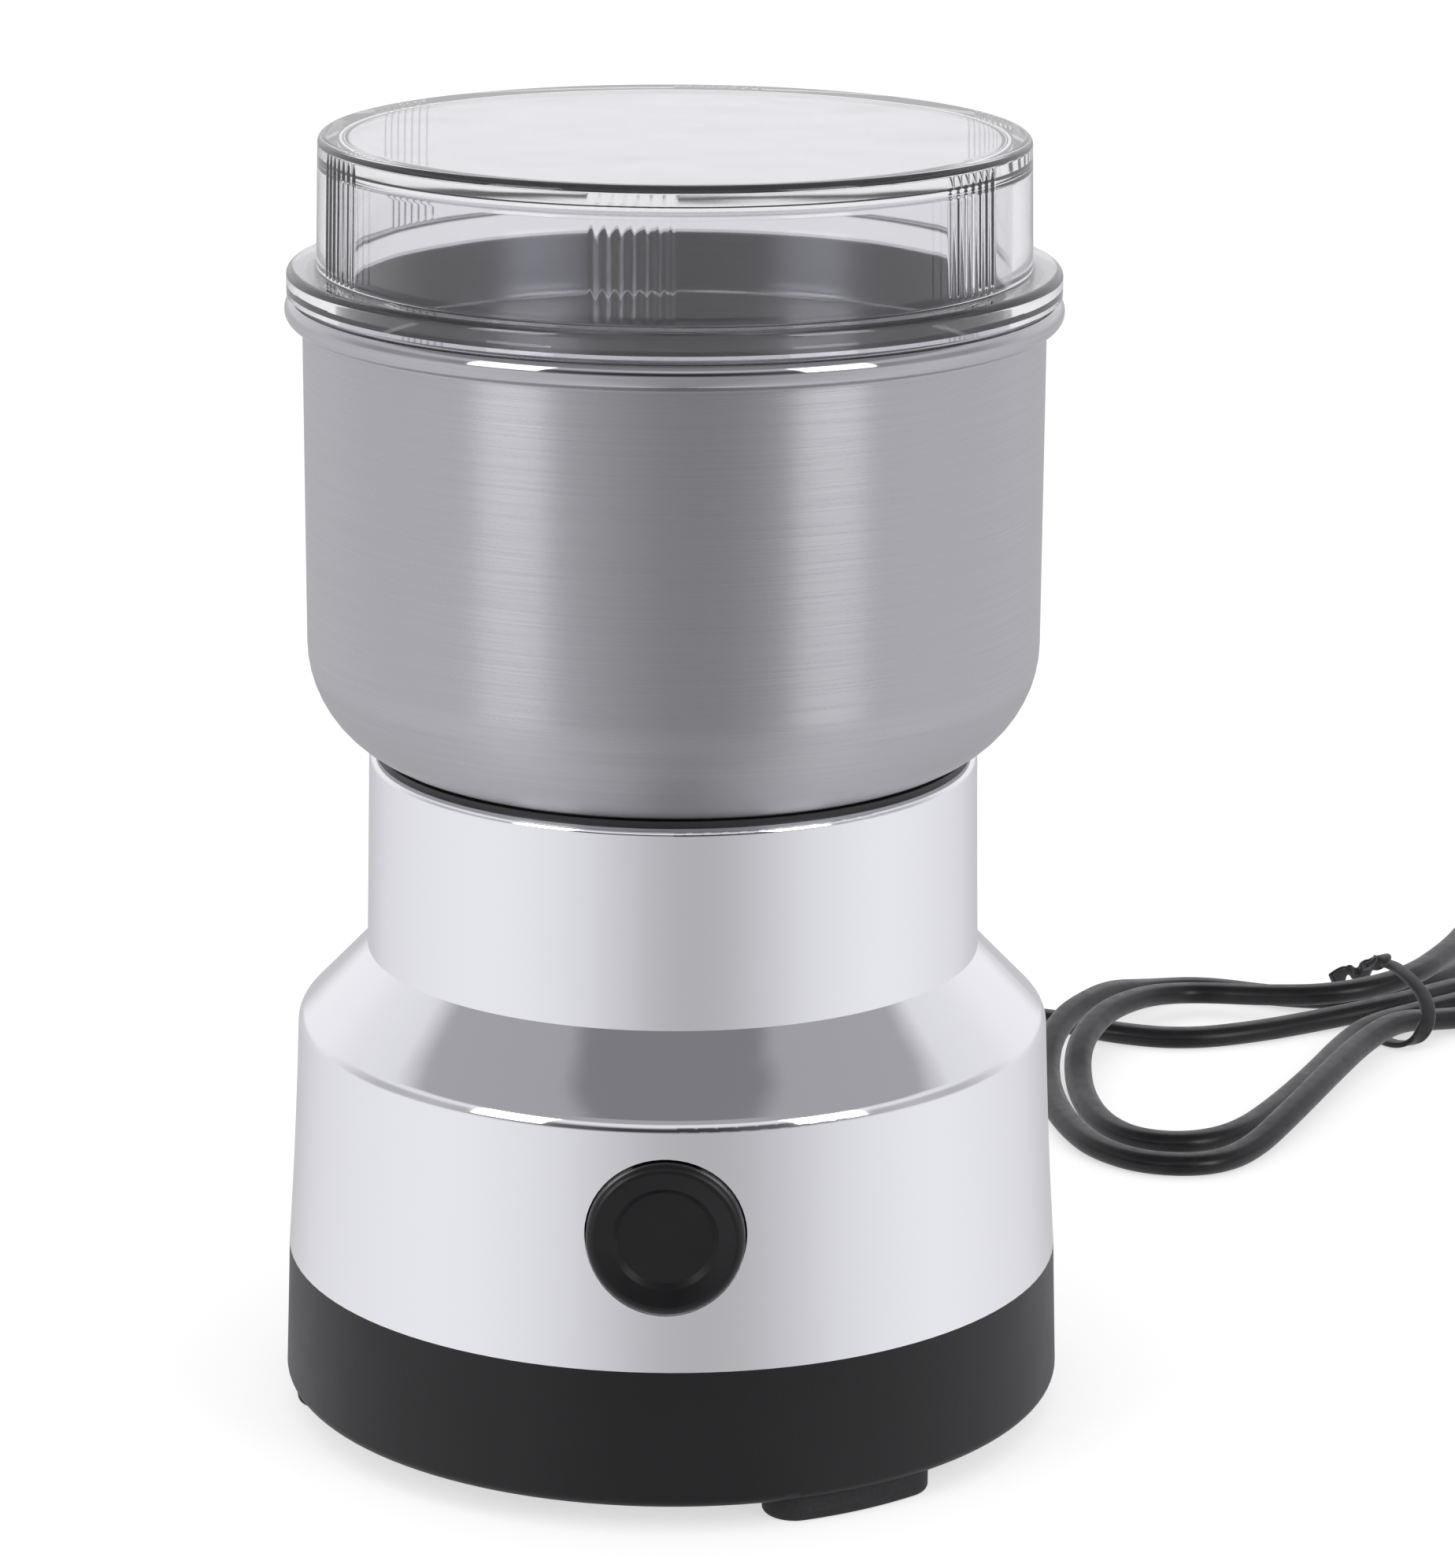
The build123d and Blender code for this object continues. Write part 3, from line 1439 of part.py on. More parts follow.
# flat two-pin plug, lying on its side face with its cable end toward the hank
plug_z = plug_high / 2 + fit_clearance
plug_back_y = plug_at[1] - plug_neck
plug_face_y = plug_back_y - plug_long
tube("cord_tail", [*cord_tail_route, (*plug_at, plug_z)], cord_r)

with BuildPart() as plug_body:
    with BuildSketch(Plane.XY.offset(fit_clearance)):
        with BuildLine():
            Polyline(
                (plug_at[0] - plug_wide / 4, plug_back_y),
                (plug_at[0] + plug_wide / 4, plug_back_y),
                (plug_at[0] + plug_wide / 2, plug_back_y - plug_long / 3),
                (plug_at[0] + plug_wide / 2, plug_face_y),
                (plug_at[0] - plug_wide / 2, plug_face_y),
                (plug_at[0] - plug_wide / 2, plug_back_y - plug_long / 3),
                close=True,
            )
        make_face()
    extrude(amount=plug_high)
    fillet(edges().filter_by(Axis.Z), pin_r)
    with BuildSketch(Plane.XZ.offset(-plug_back_y)):
        with Locations((plug_at[0], plug_z)):
            Circle(relief_r)
    with BuildSketch(Plane.XZ.offset(-plug_at[1])):
        with Locations((plug_at[0], plug_z)):
            Circle(relief_tip_r)
    loft()
finish(plug_body, "plug_body")

with BuildPart() as plug_pins:
    with BuildSketch(Plane.XZ.offset(-plug_face_y)):
        with Locations((plug_at[0] - pin_pitch / 2, plug_z), (plug_at[0] + pin_pitch / 2, plug_z)):
            Circle(pin_r)
    extrude(amount=pin_long)
    fillet(edges().group_by(Axis.Y)[0], pin_r / 2)
finish(plug_pins, "plug_pins")
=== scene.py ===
import math

import bmesh
import bpy
from mathutils import Matrix, Vector


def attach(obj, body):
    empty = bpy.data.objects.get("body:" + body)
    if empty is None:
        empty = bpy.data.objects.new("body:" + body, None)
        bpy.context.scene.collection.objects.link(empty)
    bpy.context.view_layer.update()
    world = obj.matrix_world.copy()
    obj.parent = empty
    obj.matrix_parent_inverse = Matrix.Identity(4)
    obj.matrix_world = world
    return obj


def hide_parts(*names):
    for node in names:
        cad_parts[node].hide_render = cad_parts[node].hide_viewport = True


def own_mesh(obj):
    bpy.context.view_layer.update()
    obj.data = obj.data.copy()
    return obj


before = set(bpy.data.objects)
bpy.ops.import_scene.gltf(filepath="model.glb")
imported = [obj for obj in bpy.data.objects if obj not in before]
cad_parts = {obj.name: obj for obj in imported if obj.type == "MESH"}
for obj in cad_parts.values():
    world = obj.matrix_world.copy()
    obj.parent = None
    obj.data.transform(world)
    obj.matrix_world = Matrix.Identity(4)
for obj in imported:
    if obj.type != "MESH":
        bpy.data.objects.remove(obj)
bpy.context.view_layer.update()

# ------------------------------------------------------------------------------------------------
# Table and room
# The grinder stands on a white table in a pale room. Two soft boxes stand in front, to its left and
# right. The space between them and the ceiling are dark, and that draws the bands in the metal.
# ------------------------------------------------------------------------------------------------


def linear(hex_colour):
    """An sRGB hex colour as the linear colour that a socket takes."""
    channels = [int(hex_colour[i : i + 2], 16) / 255 for i in (1, 3, 5)]
    return [c / 12.92 if c <= 0.04045 else ((c + 0.055) / 1.055) ** 2.4 for c in channels] + [1.0]


def add(owner, kind, sockets=None, stops=None, **options):
    """A new node in owner's tree. Each socket gets a value, an output, or a node's first output."""
    tree = owner.node_tree
    node = tree.nodes.new("ShaderNode" + kind)
    for option, value in options.items():
        setattr(node, option, value)
    for name, value in (sockets or {}).items():
        if isinstance(value, bpy.types.Node):
            value = value.outputs[0]
        if isinstance(value, bpy.types.NodeSocket):
            tree.links.new(value, node.inputs[name])
        else:
            node.inputs[name].default_value = value
    for number, (place, colour) in enumerate(stops or []):
        marks = node.color_ramp.elements
        mark = marks[number] if number < 2 else marks.new(place)
        mark.position, mark.color = place, linear(colour)
    return node


def material(name):
    """An empty material, to which a section adds its nodes."""
    made = bpy.data.materials.new(name)
    made.use_nodes = True
    made.node_tree.nodes.clear()
    return made


scene = bpy.context.scene
scene.view_settings.view_transform = "Standard"

# the camera stands nearly in front, looks down by 15 degrees and is held a third of a degree askew
round_to_right, aim_right, tilt_down, askew = (math.radians(a) for a in (0.9, 0.619, 15.35, 0.35))
camera_away, camera_high = 0.640, 0.25735
camera_data = bpy.data.cameras.new("camera")
camera_data.lens, camera_data.sensor_width, camera_data.clip_start = 119.3, 36.0, 0.01
camera = bpy.data.objects.new("camera", camera_data)
in_front = Vector((math.sin(round_to_right), -math.cos(round_to_right), 0))
camera.matrix_world = (
    Matrix.Translation(in_front * camera_away + Vector((0, 0, camera_high)))
    @ Matrix.Rotation(round_to_right - aim_right, 4, "Z")
    @ Matrix.Rotation(math.pi / 2 - tilt_down, 4, "X")
    @ Matrix.Rotation(askew, 4, "Z")
)
scene.collection.objects.link(camera)
scene.camera = camera


def all_round(marks):
    """The colours that stand at so many degrees from the front, placed on a ramp that goes once round."""
    return [(0.5 + degrees / 360, colour) for degrees, colour in marks]


# what shines back in gloss, by direction: the table below, the walls all round, the ceiling above
room = bpy.data.worlds.new("room")
room.use_nodes = True
room.node_tree.nodes.clear()
scene.world = room
way = add(room, "SeparateXYZ", {"Vector": add(room, "TexCoord").outputs["Generated"]})
back = add(room, "Math", {0: way.outputs["Y"], 1: -1.0}, operation="MULTIPLY")
turn = add(room, "Math", {0: way.outputs["X"], 1: back}, operation="ARCTAN2")
around = add(room, "MapRange", {"Value": turn, "From Min": -math.pi, "From Max": math.pi})
table_marks = [
    (-180, "#C6C6CA"), (-158, "#CFCFD3"), (-138, "#E4E4E8"), (-110, "#F1F1F5"), (-60, "#F5F5F9"),
    (-29, "#E3E3E7"), (-10, "#CACACD"), (9, "#BCBCBF"), (28, "#CACACD"), (47, "#E3E3E7"),
    (78, "#F5F5F9"), (112, "#F1F1F5"), (138, "#E4E4E8"), (158, "#CFCFD3"), (180, "#C6C6CA"),
]  # fmt: skip
wall_marks = [
    (-180, "#F9F9FC"), (-125, "#F3F3F6"), (-100, "#C4C4C8"), (-70, "#BCBCC0"), (-40, "#7C7C80"),
    (-20, "#505054"), (0, "#404044"), (20, "#505054"), (40, "#7C7C80"), (70, "#BCBCC0"),
    (100, "#C4C4C8"), (125, "#F3F3F6"), (180, "#F9F9FC"),
]  # fmt: skip
ceiling_marks = [
    (0.48, "#EEEEF2"), (0.60, "#E9E9ED"), (0.67, "#ABABAF"), (0.885, "#A8A8AC"), (0.903, "#828286"),
    (1.0, "#828286"),
]  # fmt: skip
rise = way.outputs["Z"]
white_below = add(room, "ValToRGB", {"Fac": around}, stops=all_round(table_marks))
walls = add(room, "ValToRGB", {"Fac": around}, stops=all_round(wall_marks))
ceiling = add(room, "ValToRGB", {"Fac": rise}, stops=ceiling_marks)
white_below.color_ramp.interpolation = walls.color_ramp.interpolation = "CARDINAL"
smoothly = {"interpolation_type": "SMOOTHSTEP"}
horizon = add(room, "MapRange", {"Value": rise, "From Min": -0.1, "From Max": 0.1}, **smoothly)
cornice = add(room, "MapRange", {"Value": rise, "From Min": 0.3, "From Max": 0.5}, **smoothly)
low = add(room, "Mix", {0: horizon, 6: white_below, 7: walls}, data_type="RGBA")
on_outside = add(room, "Mix", {0: cornice, 6: low.outputs[2], 7: ceiling}, data_type="RGBA")
ray = add(room, "LightPath")
# out through the lid, the steel inside the bowl throws back the two soft boxes and the dark between
# and beside them: a ray that does so has shone off steel and gone through three skins of the lid
lid_skins, through = 3, ray.outputs["Transmission Depth"]
in_and_out = add(room, "Math", {0: through, 1: lid_skins - 0.5}, operation="GREATER_THAN")
thrown_back = add(
    room, "Math", {0: ray.outputs["Glossy Depth"], 1: in_and_out}, operation="MULTIPLY", use_clamp=True
)
bowl_marks = [
    (-180, "#D8D8DC"), (-118, "#B4B4B8"), (-100, "#48484C"), (-66, "#4A4A4E"), (-59, "#FFFFFF"),
    (-33, "#FFFFFF"), (-26, "#4A4A4E"), (0, "#404044"), (26, "#4A4A4E"), (33, "#F4F4F8"),
    (59, "#F4F4F8"), (66, "#4A4A4E"), (100, "#48484C"), (118, "#B4B4B8"), (180, "#D8D8DC"),
]  # fmt: skip
from_bowl = add(room, "ValToRGB", {"Fac": around}, stops=all_round(bowl_marks))
in_gloss = add(room, "Mix", {0: thrown_back, 6: on_outside.outputs[2], 7: from_bowl}, data_type="RGBA")
room_in_gloss = add(room, "Background", {"Color": in_gloss.outputs[2], "Strength": 1.0})
room_light = add(room, "Background", {"Color": linear("#FFFFFF"), "Strength": 0.85})
white_back = add(room, "Background", {"Color": linear("#FFFFFF"), "Strength": 1.0})
clear_ray = ray.outputs["Is Transmission Ray"]
clear_way = add(room, "Math", {0: clear_ray, 1: thrown_back}, operation="SUBTRACT", use_clamp=True)
straight = add(room, "Math", {0: ray.outputs["Is Camera Ray"], 1: clear_way}, operation="MAXIMUM")
in_metal = add(room, "Math", {0: ray.outputs["Is Glossy Ray"], 1: thrown_back}, operation="MAXIMUM")
lit = add(room, "MixShader", {0: in_metal, 1: room_light, 2: room_in_gloss})
seen = add(room, "MixShader", {0: straight, 1: lit, 2: white_back})
add(room, "OutputWorld", {"Surface": seen})

soft_box_wide, soft_box_tall, soft_box_watts = 0.55, 0.75, 4.5
soft_box_away, soft_box_high, lit_middle = 1.3, 0.62, Vector((0, 0, 0.10))
for side, aside in (("left", math.radians(-49)), ("right", math.radians(49))):
    box_data = bpy.data.lights.new("soft_box_" + side, "AREA")
    box_data.shape, box_data.energy = "RECTANGLE", soft_box_watts
    box_data.size, box_data.size_y = soft_box_wide, soft_box_tall
    box = bpy.data.objects.new("soft_box_" + side, box_data)
    out_to_side = Vector((math.sin(aside), -math.cos(aside), 0))
    box.location = out_to_side * soft_box_away + Vector((0, 0, soft_box_high))
    box.rotation_euler = (box.location - lit_middle).to_track_quat("Z", "Y").to_euler()
    scene.collection.objects.link(box)

# the table: white where it is looked at, and out of the way of the metal's reflections
table_mesh = bpy.data.meshes.new("table")
table_reach = 5
table_corners = [(x * table_reach, y * table_reach, 0) for x, y in ((-1, -1), (1, -1), (1, 1), (-1, 1))]
table_mesh.from_pydata(table_corners, [], [(0, 1, 2, 3)])
table = bpy.data.objects.new("table", table_mesh)
scene.collection.objects.link(table)
white_table = material("white_table")
ray = add(white_table, "LightPath")
through_lid = ray.outputs["Is Transmission Ray"]
straight = add(white_table, "Math", {0: ray.outputs["Is Camera Ray"], 1: through_lid}, operation="MAXIMUM")
plain = add(white_table, "BsdfDiffuse", {"Color": linear("#F2F2F4")})
shaded = add(white_table, "BsdfDiffuse", {"Color": linear("#B8B8BA")})
glow = add(white_table, "Emission", {"Color": linear("#FFFFFF"), "Strength": 0.62})
looked_at = add(white_table, "AddShader", {0: shaded, 1: glow})
lit = add(white_table, "MixShader", {0: straight, 1: plain, 2: looked_at})
gone = add(white_table, "BsdfTransparent")
surface = add(white_table, "MixShader", {0: ray.outputs["Is Glossy Ray"], 1: lit, 2: gone})
add(white_table, "OutputMaterial", {"Surface": surface})
table_mesh.materials.append(white_table)

# ------------------------------------------------------------------------------------------------
# Base cover and feet
# The cover is a tray of black ABS that closes the housing from below, with slots in its floor for
# the fan's air. Three curved rubber feet are pressed into pockets in its underside.
# ------------------------------------------------------------------------------------------------


def dress(made, surface, *names):
    """The surface closes the material, and the nodes take it."""
    add(made, "OutputMaterial", {"Surface": surface})
    for name in names:
        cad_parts[name].data.materials.clear()
        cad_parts[name].data.materials.append(made)


most_of_noise = {"From Min": 0.3, "From Max": 0.7}

# black ABS from an eroded mould: satin, with a fine even grain that breaks up the shine
# (the real grain is about 0.1 mm across; 0.35 mm is the finest that shows)
grain_mm = 0.35
satin_abs = material("satin_black_abs")
place = add(satin_abs, "TexCoord").outputs["Object"]
grain = add(satin_abs, "TexNoise", {"Vector": place, "Scale": 1000 / grain_mm, "Detail": 2.0})
cloud = add(satin_abs, "TexNoise", {"Vector": place, "Scale": 60.0, "Detail": 3.0})
shade = add(satin_abs, "ValToRGB", {"Fac": cloud}, stops=[(0.3, "#0E0E10"), (0.7, "#141416")])
soft = add(satin_abs, "MapRange", {"Value": cloud, **most_of_noise, "To Min": 0.38, "To Max": 0.46})
bumped = add(satin_abs, "Bump", {"Height": grain, "Strength": 0.3, "Distance": 0.00006})
surface = add(
    satin_abs,
    "BsdfPrincipled",
    {"Base Color": shade, "Roughness": soft, "IOR": 1.48, "Specular IOR Level": 0.36, "Normal": bumped},
)
dress(satin_abs, surface, "base_cover")

# foot rubber: dull black, greyed by handling, with dust in its pores
pore_mm = 0.6
foot_rubber = material("black_foot_rubber")
place = add(foot_rubber, "TexCoord").outputs["Object"]
dust = add(foot_rubber, "TexNoise", {"Vector": place, "Scale": 1000 / pore_mm, "Detail": 4.0, "Roughness": 0.7})
shade = add(foot_rubber, "ValToRGB", {"Fac": dust}, stops=[(0.35, "#161618"), (0.75, "#242426")])
bumped = add(foot_rubber, "Bump", {"Height": dust, "Strength": 0.3, "Distance": 0.0001})
surface = add(
    foot_rubber, "BsdfPrincipled", {"Base Color": shade, "Roughness": 0.74, "IOR": 1.52, "Normal": bumped}
)
dress(foot_rubber, surface, "foot_front_right", "foot_rear_right", "foot_left")

# ------------------------------------------------------------------------------------------------
# Mains cord
# Flat twin flex with a black PVC sheath, about a metre long. It leaves the strain relief at the
# back, drops to the table and is folded into a hank. Inside, a nylon clamp holds its end.
# ------------------------------------------------------------------------------------------------

cord_route_mm = [
    (0, 71.6, 11.6), (-0.2, 84.1, 11.2), (1.7, 96.8, 6), (8.2, 113.8, 2.2), (19.3, 130.5, 1.6),
    (34.4, 145.7, 1.6), (48.9, 152.8, 1.6), (58.4, 151.2, 1.6), (67.1, 144.6, 1.6), (78.5, 141.4, 1.6),
    (90.4, 145.6, 1.6), (101.7, 152.2, 1.6), (113.4, 157.2, 2.5), (124.9, 168.4, 1.9), (137.2, 176.2, 1.6),
    (151.2, 180.7, 1.6), (166.7, 190.9, 1.6), (166.9, 205.3, 1.6), (152.3, 213.2, 1.6), (142.2, 204, 1.6),
    (133.8, 193, 1.6), (127.4, 179.6, 1.6), (119, 167.9, 2.5), (107.1, 159.8, 2.5), (95.2, 164.2, 1.6),
    (83.8, 169.2, 1.6), (74.8, 165.6, 2.2), (68.5, 158.3, 4.4), (63.9, 150.5, 5), (59.9, 143, 4.9),
    (56.6, 132.1, 4), (55.5, 119.9, 2.1), (56.5, 107.6, 1.6), (58.5, 97.8, 1.6), (61.5, 89.4, 1.6),
    (68.1, 82.8, 1.6), (77.5, 82.2, 1.6), (84.2, 88.5, 1.6), (91.5, 102, 3), (99.6, 120, 3.7),
    (106.1, 134.9, 3.7), (112.5, 144.5, 4), (119.8, 149.7, 2.5), (130.1, 155.9, 1.6), (144.6, 161.3, 1.6),
    (159.8, 167.1, 1.6), (174.2, 177.5, 1.6), (184.1, 193.5, 1.6), (180.6, 210.3, 1.6), (165.2, 220.2, 1.6),
    (146.8, 218.5, 1.6), (135.9, 207.5, 3.7), (130.4, 192.4, 5), (125.5, 179.2, 5.2), (116.2, 160.7, 5.9),
    (103.7, 153.5, 5.4), (92.8, 156.5, 4.2), (82.5, 160.4, 3.4), (74.5, 156.3, 4.3), (68.5, 148.4, 5),
    (64.5, 140.8, 4.9), (61, 129.2, 4.2), (60.4, 117, 2), (61.8, 105.1, 1.6), (64.7, 96.9, 1.6),
    (69.2, 92.5, 1.6), (76.3, 91.8, 1.6), (83.4, 96.6, 1.6), (89.8, 107.8, 1.6), (97.3, 123.9, 1.6),
    (103.4, 138.9, 1.6), (108.5, 147.1, 2.3), (116.2, 152.8, 2.5), (126.5, 160.1, 2.6), (136.5, 164.3, 5.3),
    (147, 158, 4.7), (155.3, 149.1, 4.8), (157.4, 137.4, 6.6), (157.3, 126.5, 6.9),
]  # fmt: skip


def smooth_line(name, points_mm):
    """The points along the smooth line that the given points steer, in metres."""
    line_data = bpy.data.curves.new(name, "CURVE")
    line_data.dimensions, line_data.resolution_u = "3D", 12
    line = line_data.splines.new("NURBS")
    line.points.add(len(points_mm) - 1)
    for point, (x, y, z) in zip(line.points, points_mm):
        point.co = (x / 1000, y / 1000, z / 1000, 1)
    line.order_u = 3
    line.use_endpoint_u = True
    holder = bpy.data.objects.new(name, line_data)
    scene.collection.objects.link(holder)
    bpy.context.view_layer.update()
    drawn = bpy.data.meshes.new_from_object(holder)
    points = [vertex.co.copy() for vertex in drawn.vertices]
    bpy.data.objects.remove(holder)
    return points


def oval(width, height, steps):
    """A flat-sided oval: two half circles with a straight run between them."""
    outline = []
    for step in range(steps):
        angle = 2 * math.pi * (step + 0.5) / steps
        apart = math.copysign((width - height) / 2, math.cos(angle))
        outline.append((apart + height / 2 * math.cos(angle), height / 2 * math.sin(angle)))
    return outline


def swept(name, points, outline, lies_along=None):
    """The outline carried along the points and closed at both ends, its width level or as told."""
    corners, faces, size = [], [], len(outline)
    for number, point in enumerate(points):
        ahead = points[min(number + 1, len(points) - 1)] - points[max(number - 1, 0)]
        ahead.normalize()
        if lies_along:
            side = (lies_along - ahead * lies_along.dot(ahead)).normalized()
        else:
            side = ahead.cross(Vector((0, 0, 1))).normalized()
        up = side.cross(ahead)
        corners += [point + side * out + up * rise for out, rise in outline]
    for ring in range(len(points) - 1):
        for i in range(size):
            j = (i + 1) % size
            a, b = ring * size, (ring + 1) * size
            faces.append((a + i, a + j, b + j, b + i))
    faces += [tuple(range(size))[::-1], tuple(range(len(corners) - size, len(corners)))]
    mesh = bpy.data.meshes.new(name)
    mesh.from_pydata(corners, [], faces)
    mesh.shade_smooth()
    made = bpy.data.objects.new(name, mesh)
    scene.collection.objects.link(made)
    return made


flex_wide, flex_thick = 0.0042, 0.0031
cord_points = smooth_line("cord_line", cord_route_mm)
mains_cord = swept("mains_cord", cord_points, oval(flex_wide, flex_thick, 28))

# extruded PVC sheath: black with a soft gloss, and faint drag lines from the die
drag_mm = 2.0
cord_pvc = material("extruded_black_pvc")
place = add(cord_pvc, "TexCoord").outputs["Object"]
drag = add(cord_pvc, "TexNoise", {"Vector": place, "Scale": 1000 / drag_mm, "Detail": 3.0})
shade = add(cord_pvc, "ValToRGB", {"Fac": drag}, stops=[(0.3, "#0E0E10"), (0.7, "#141416")])
soft = add(cord_pvc, "MapRange", {"Value": drag, **most_of_noise, "To Min": 0.28, "To Max": 0.4})
bumped = add(cord_pvc, "Bump", {"Height": drag, "Strength": 0.12, "Distance": 0.00005})
surface = add(
    cord_pvc,
    "BsdfPrincipled",
    {"Base Color": shade, "Roughness": soft, "IOR": 1.5, "Specular IOR Level": 0.4, "Normal": bumped},
)
dress(cord_pvc, surface, "cord_inner")
mains_cord.data.materials.append(cord_pvc)
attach(mains_cord, "housing")
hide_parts("cord_lead", "cord_hank", "cord_tail")

# moulded PVC of the strain relief and the plug: the same black, duller, with the mould's fine grain
mould_mm = 0.5
moulded_pvc = material("moulded_black_pvc")
place = add(moulded_pvc, "TexCoord").outputs["Object"]
fine = add(moulded_pvc, "TexNoise", {"Vector": place, "Scale": 1000 / mould_mm, "Detail": 3.0})
shade = add(moulded_pvc, "ValToRGB", {"Fac": fine}, stops=[(0.3, "#131315"), (0.7, "#1C1C1F")])
soft = add(moulded_pvc, "MapRange", {"Value": fine, "To Min": 0.4, "To Max": 0.58})
bumped = add(moulded_pvc, "Bump", {"Height": fine, "Strength": 0.3, "Distance": 0.00008})
surface = add(
    moulded_pvc, "BsdfPrincipled", {"Base Color": shade, "Roughness": soft, "IOR": 1.5, "Normal": bumped}
)
dress(moulded_pvc, surface, "strain_relief", "plug_body")

# nickel plate on the plug's pins: warm silver, with fine rub marks along the pin
rub_mm = 0.3
nickel_plate = material("nickel_plate")
place = add(nickel_plate, "TexCoord").outputs["Object"]
along_pin = add(nickel_plate, "Mapping", {"Vector": place, "Scale": (1000 / rub_mm, 80, 1000 / rub_mm)})
rubs = add(nickel_plate, "TexNoise", {"Vector": along_pin, "Scale": 1.0, "Detail": 2.0})
shade = add(nickel_plate, "ValToRGB", {"Fac": rubs}, stops=[(0.3, "#CBC7BE"), (0.7, "#DEDBD3")])
soft = add(nickel_plate, "MapRange", {"Value": rubs, "To Min": 0.12, "To Max": 0.28})
surface = add(nickel_plate, "BsdfPrincipled", {"Base Color": shade, "Metallic": 1.0, "Roughness": soft})
dress(nickel_plate, surface, "plug_pins")

# ------------------------------------------------------------------------------------------------
# Tie
# A flat twist tie: black plastic with a wire inside. It goes once round the hank's waist, and its
# two ends are twisted together on top and lie along the cord.
# ------------------------------------------------------------------------------------------------

tie_wide, tie_thick = 0.0026, 0.0009
tie_route_mm = [
    (103.5, 157.0, 6.6), (105.6, 159.0, 7.6), (107.9, 160.0, 7.0), (110.6, 162.4, 8.0), (113.5, 162.3, 7.9),
    (115.8, 156.6, 7.3), (117.6, 151.8, 5.9), (117.8, 146.4, 4.2), (116.2, 142.4, 2.4), (113.9, 141.8, 0.9),
    (111.2, 143.4, 0.5), (109.5, 148.5, 0.5), (108.5, 155.0, 0.5), (108.4, 161.5, 0.5), (109.0, 167.6, 0.9),
    (109.9, 169.4, 3.6), (110.8, 167.0, 6.9), (112.6, 163.6, 8.8), (111.4, 160.6, 8.6), (108.6, 159.3, 8.2),
]  # fmt: skip
waist_way = Vector((math.cos(math.radians(38)), math.sin(math.radians(38)), 0))
wire_tie = swept("wire_tie", smooth_line("tie_line", tie_route_mm), oval(tie_wide, tie_thick, 16), waist_way)

# plastic over wire: smooth black, lightly creased by the bending
tie_plastic = material("tie_plastic")
place = add(tie_plastic, "TexCoord").outputs["Object"]
creases = add(tie_plastic, "TexNoise", {"Vector": place, "Scale": 600.0, "Detail": 2.0})
shade = add(tie_plastic, "ValToRGB", {"Fac": creases}, stops=[(0.3, "#0E0E10"), (0.7, "#151517")])
soft = add(tie_plastic, "MapRange", {"Value": creases, "To Min": 0.3, "To Max": 0.5})
bumped = add(tie_plastic, "Bump", {"Height": creases, "Strength": 0.3, "Distance": 0.0001})
surface = add(
    tie_plastic, "BsdfPrincipled", {"Base Color": shade, "Roughness": soft, "IOR": 1.5, "Normal": bumped}
)
add(tie_plastic, "OutputMaterial", {"Surface": surface})
wire_tie.data.materials.append(tie_plastic)
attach(wire_tie, "housing")
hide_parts("cord_tie")

# the silvered body doesn't mirror the hank: it shows the white room there
for piece in (mains_cord, wire_tie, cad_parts["plug_body"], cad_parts["plug_pins"]):
    piece.visible_glossy = False

# ------------------------------------------------------------------------------------------------
# Motor frame
# Two die-cast brackets hold the stator between them on two long bolts. The upper one hangs from the
# housing's shelf on rubber bushes, and each has a sintered bronze bush for the shaft.
# ------------------------------------------------------------------------------------------------

# die-cast aluminium: grey skin, mottled where the metal froze against the die
cast_mm = 1.2
cast_aluminium = material("die_cast_aluminium")
place = add(cast_aluminium, "TexCoord").outputs["Object"]
skin = add(
    cast_aluminium, "TexNoise", {"Vector": place, "Scale": 1000 / cast_mm, "Detail": 5.0, "Roughness": 0.65}
)
flow = add(cast_aluminium, "TexNoise", {"Vector": place, "Scale": 90.0, "Detail": 3.0})
shade = add(cast_aluminium, "ValToRGB", {"Fac": flow}, stops=[(0.3, "#A3A5A8"), (0.7, "#BDBFC1")])
soft = add(cast_aluminium, "MapRange", {"Value": skin, **most_of_noise, "To Min": 0.42, "To Max": 0.6})
bumped = add(cast_aluminium, "Bump", {"Height": skin, "Strength": 0.4, "Distance": 0.00015})
surface = add(
    cast_aluminium,
    "BsdfPrincipled",
    {"Base Color": shade, "Metallic": 1.0, "Roughness": soft, "Normal": bumped},
)
dress(cast_aluminium, surface, "upper_bracket", "lower_bracket")

# seal rubber, also of the bushes: black and smooth, a little greasy in patches
seal_rubber = material("black_seal_rubber")
place = add(seal_rubber, "TexCoord").outputs["Object"]
grease = add(seal_rubber, "TexNoise", {"Vector": place, "Scale": 220.0, "Detail": 2.0})
shade = add(seal_rubber, "ValToRGB", {"Fac": grease}, stops=[(0.3, "#121214"), (0.7, "#1B1B1D")])
soft = add(seal_rubber, "MapRange", {"Value": grease, "To Min": 0.38, "To Max": 0.6})
surface = add(seal_rubber, "BsdfPrincipled", {"Base Color": shade, "Roughness": soft, "IOR": 1.52})
dress(seal_rubber, surface, "motor_bushes", "bowl_gasket", "bowl_washer", "shaft_seal")

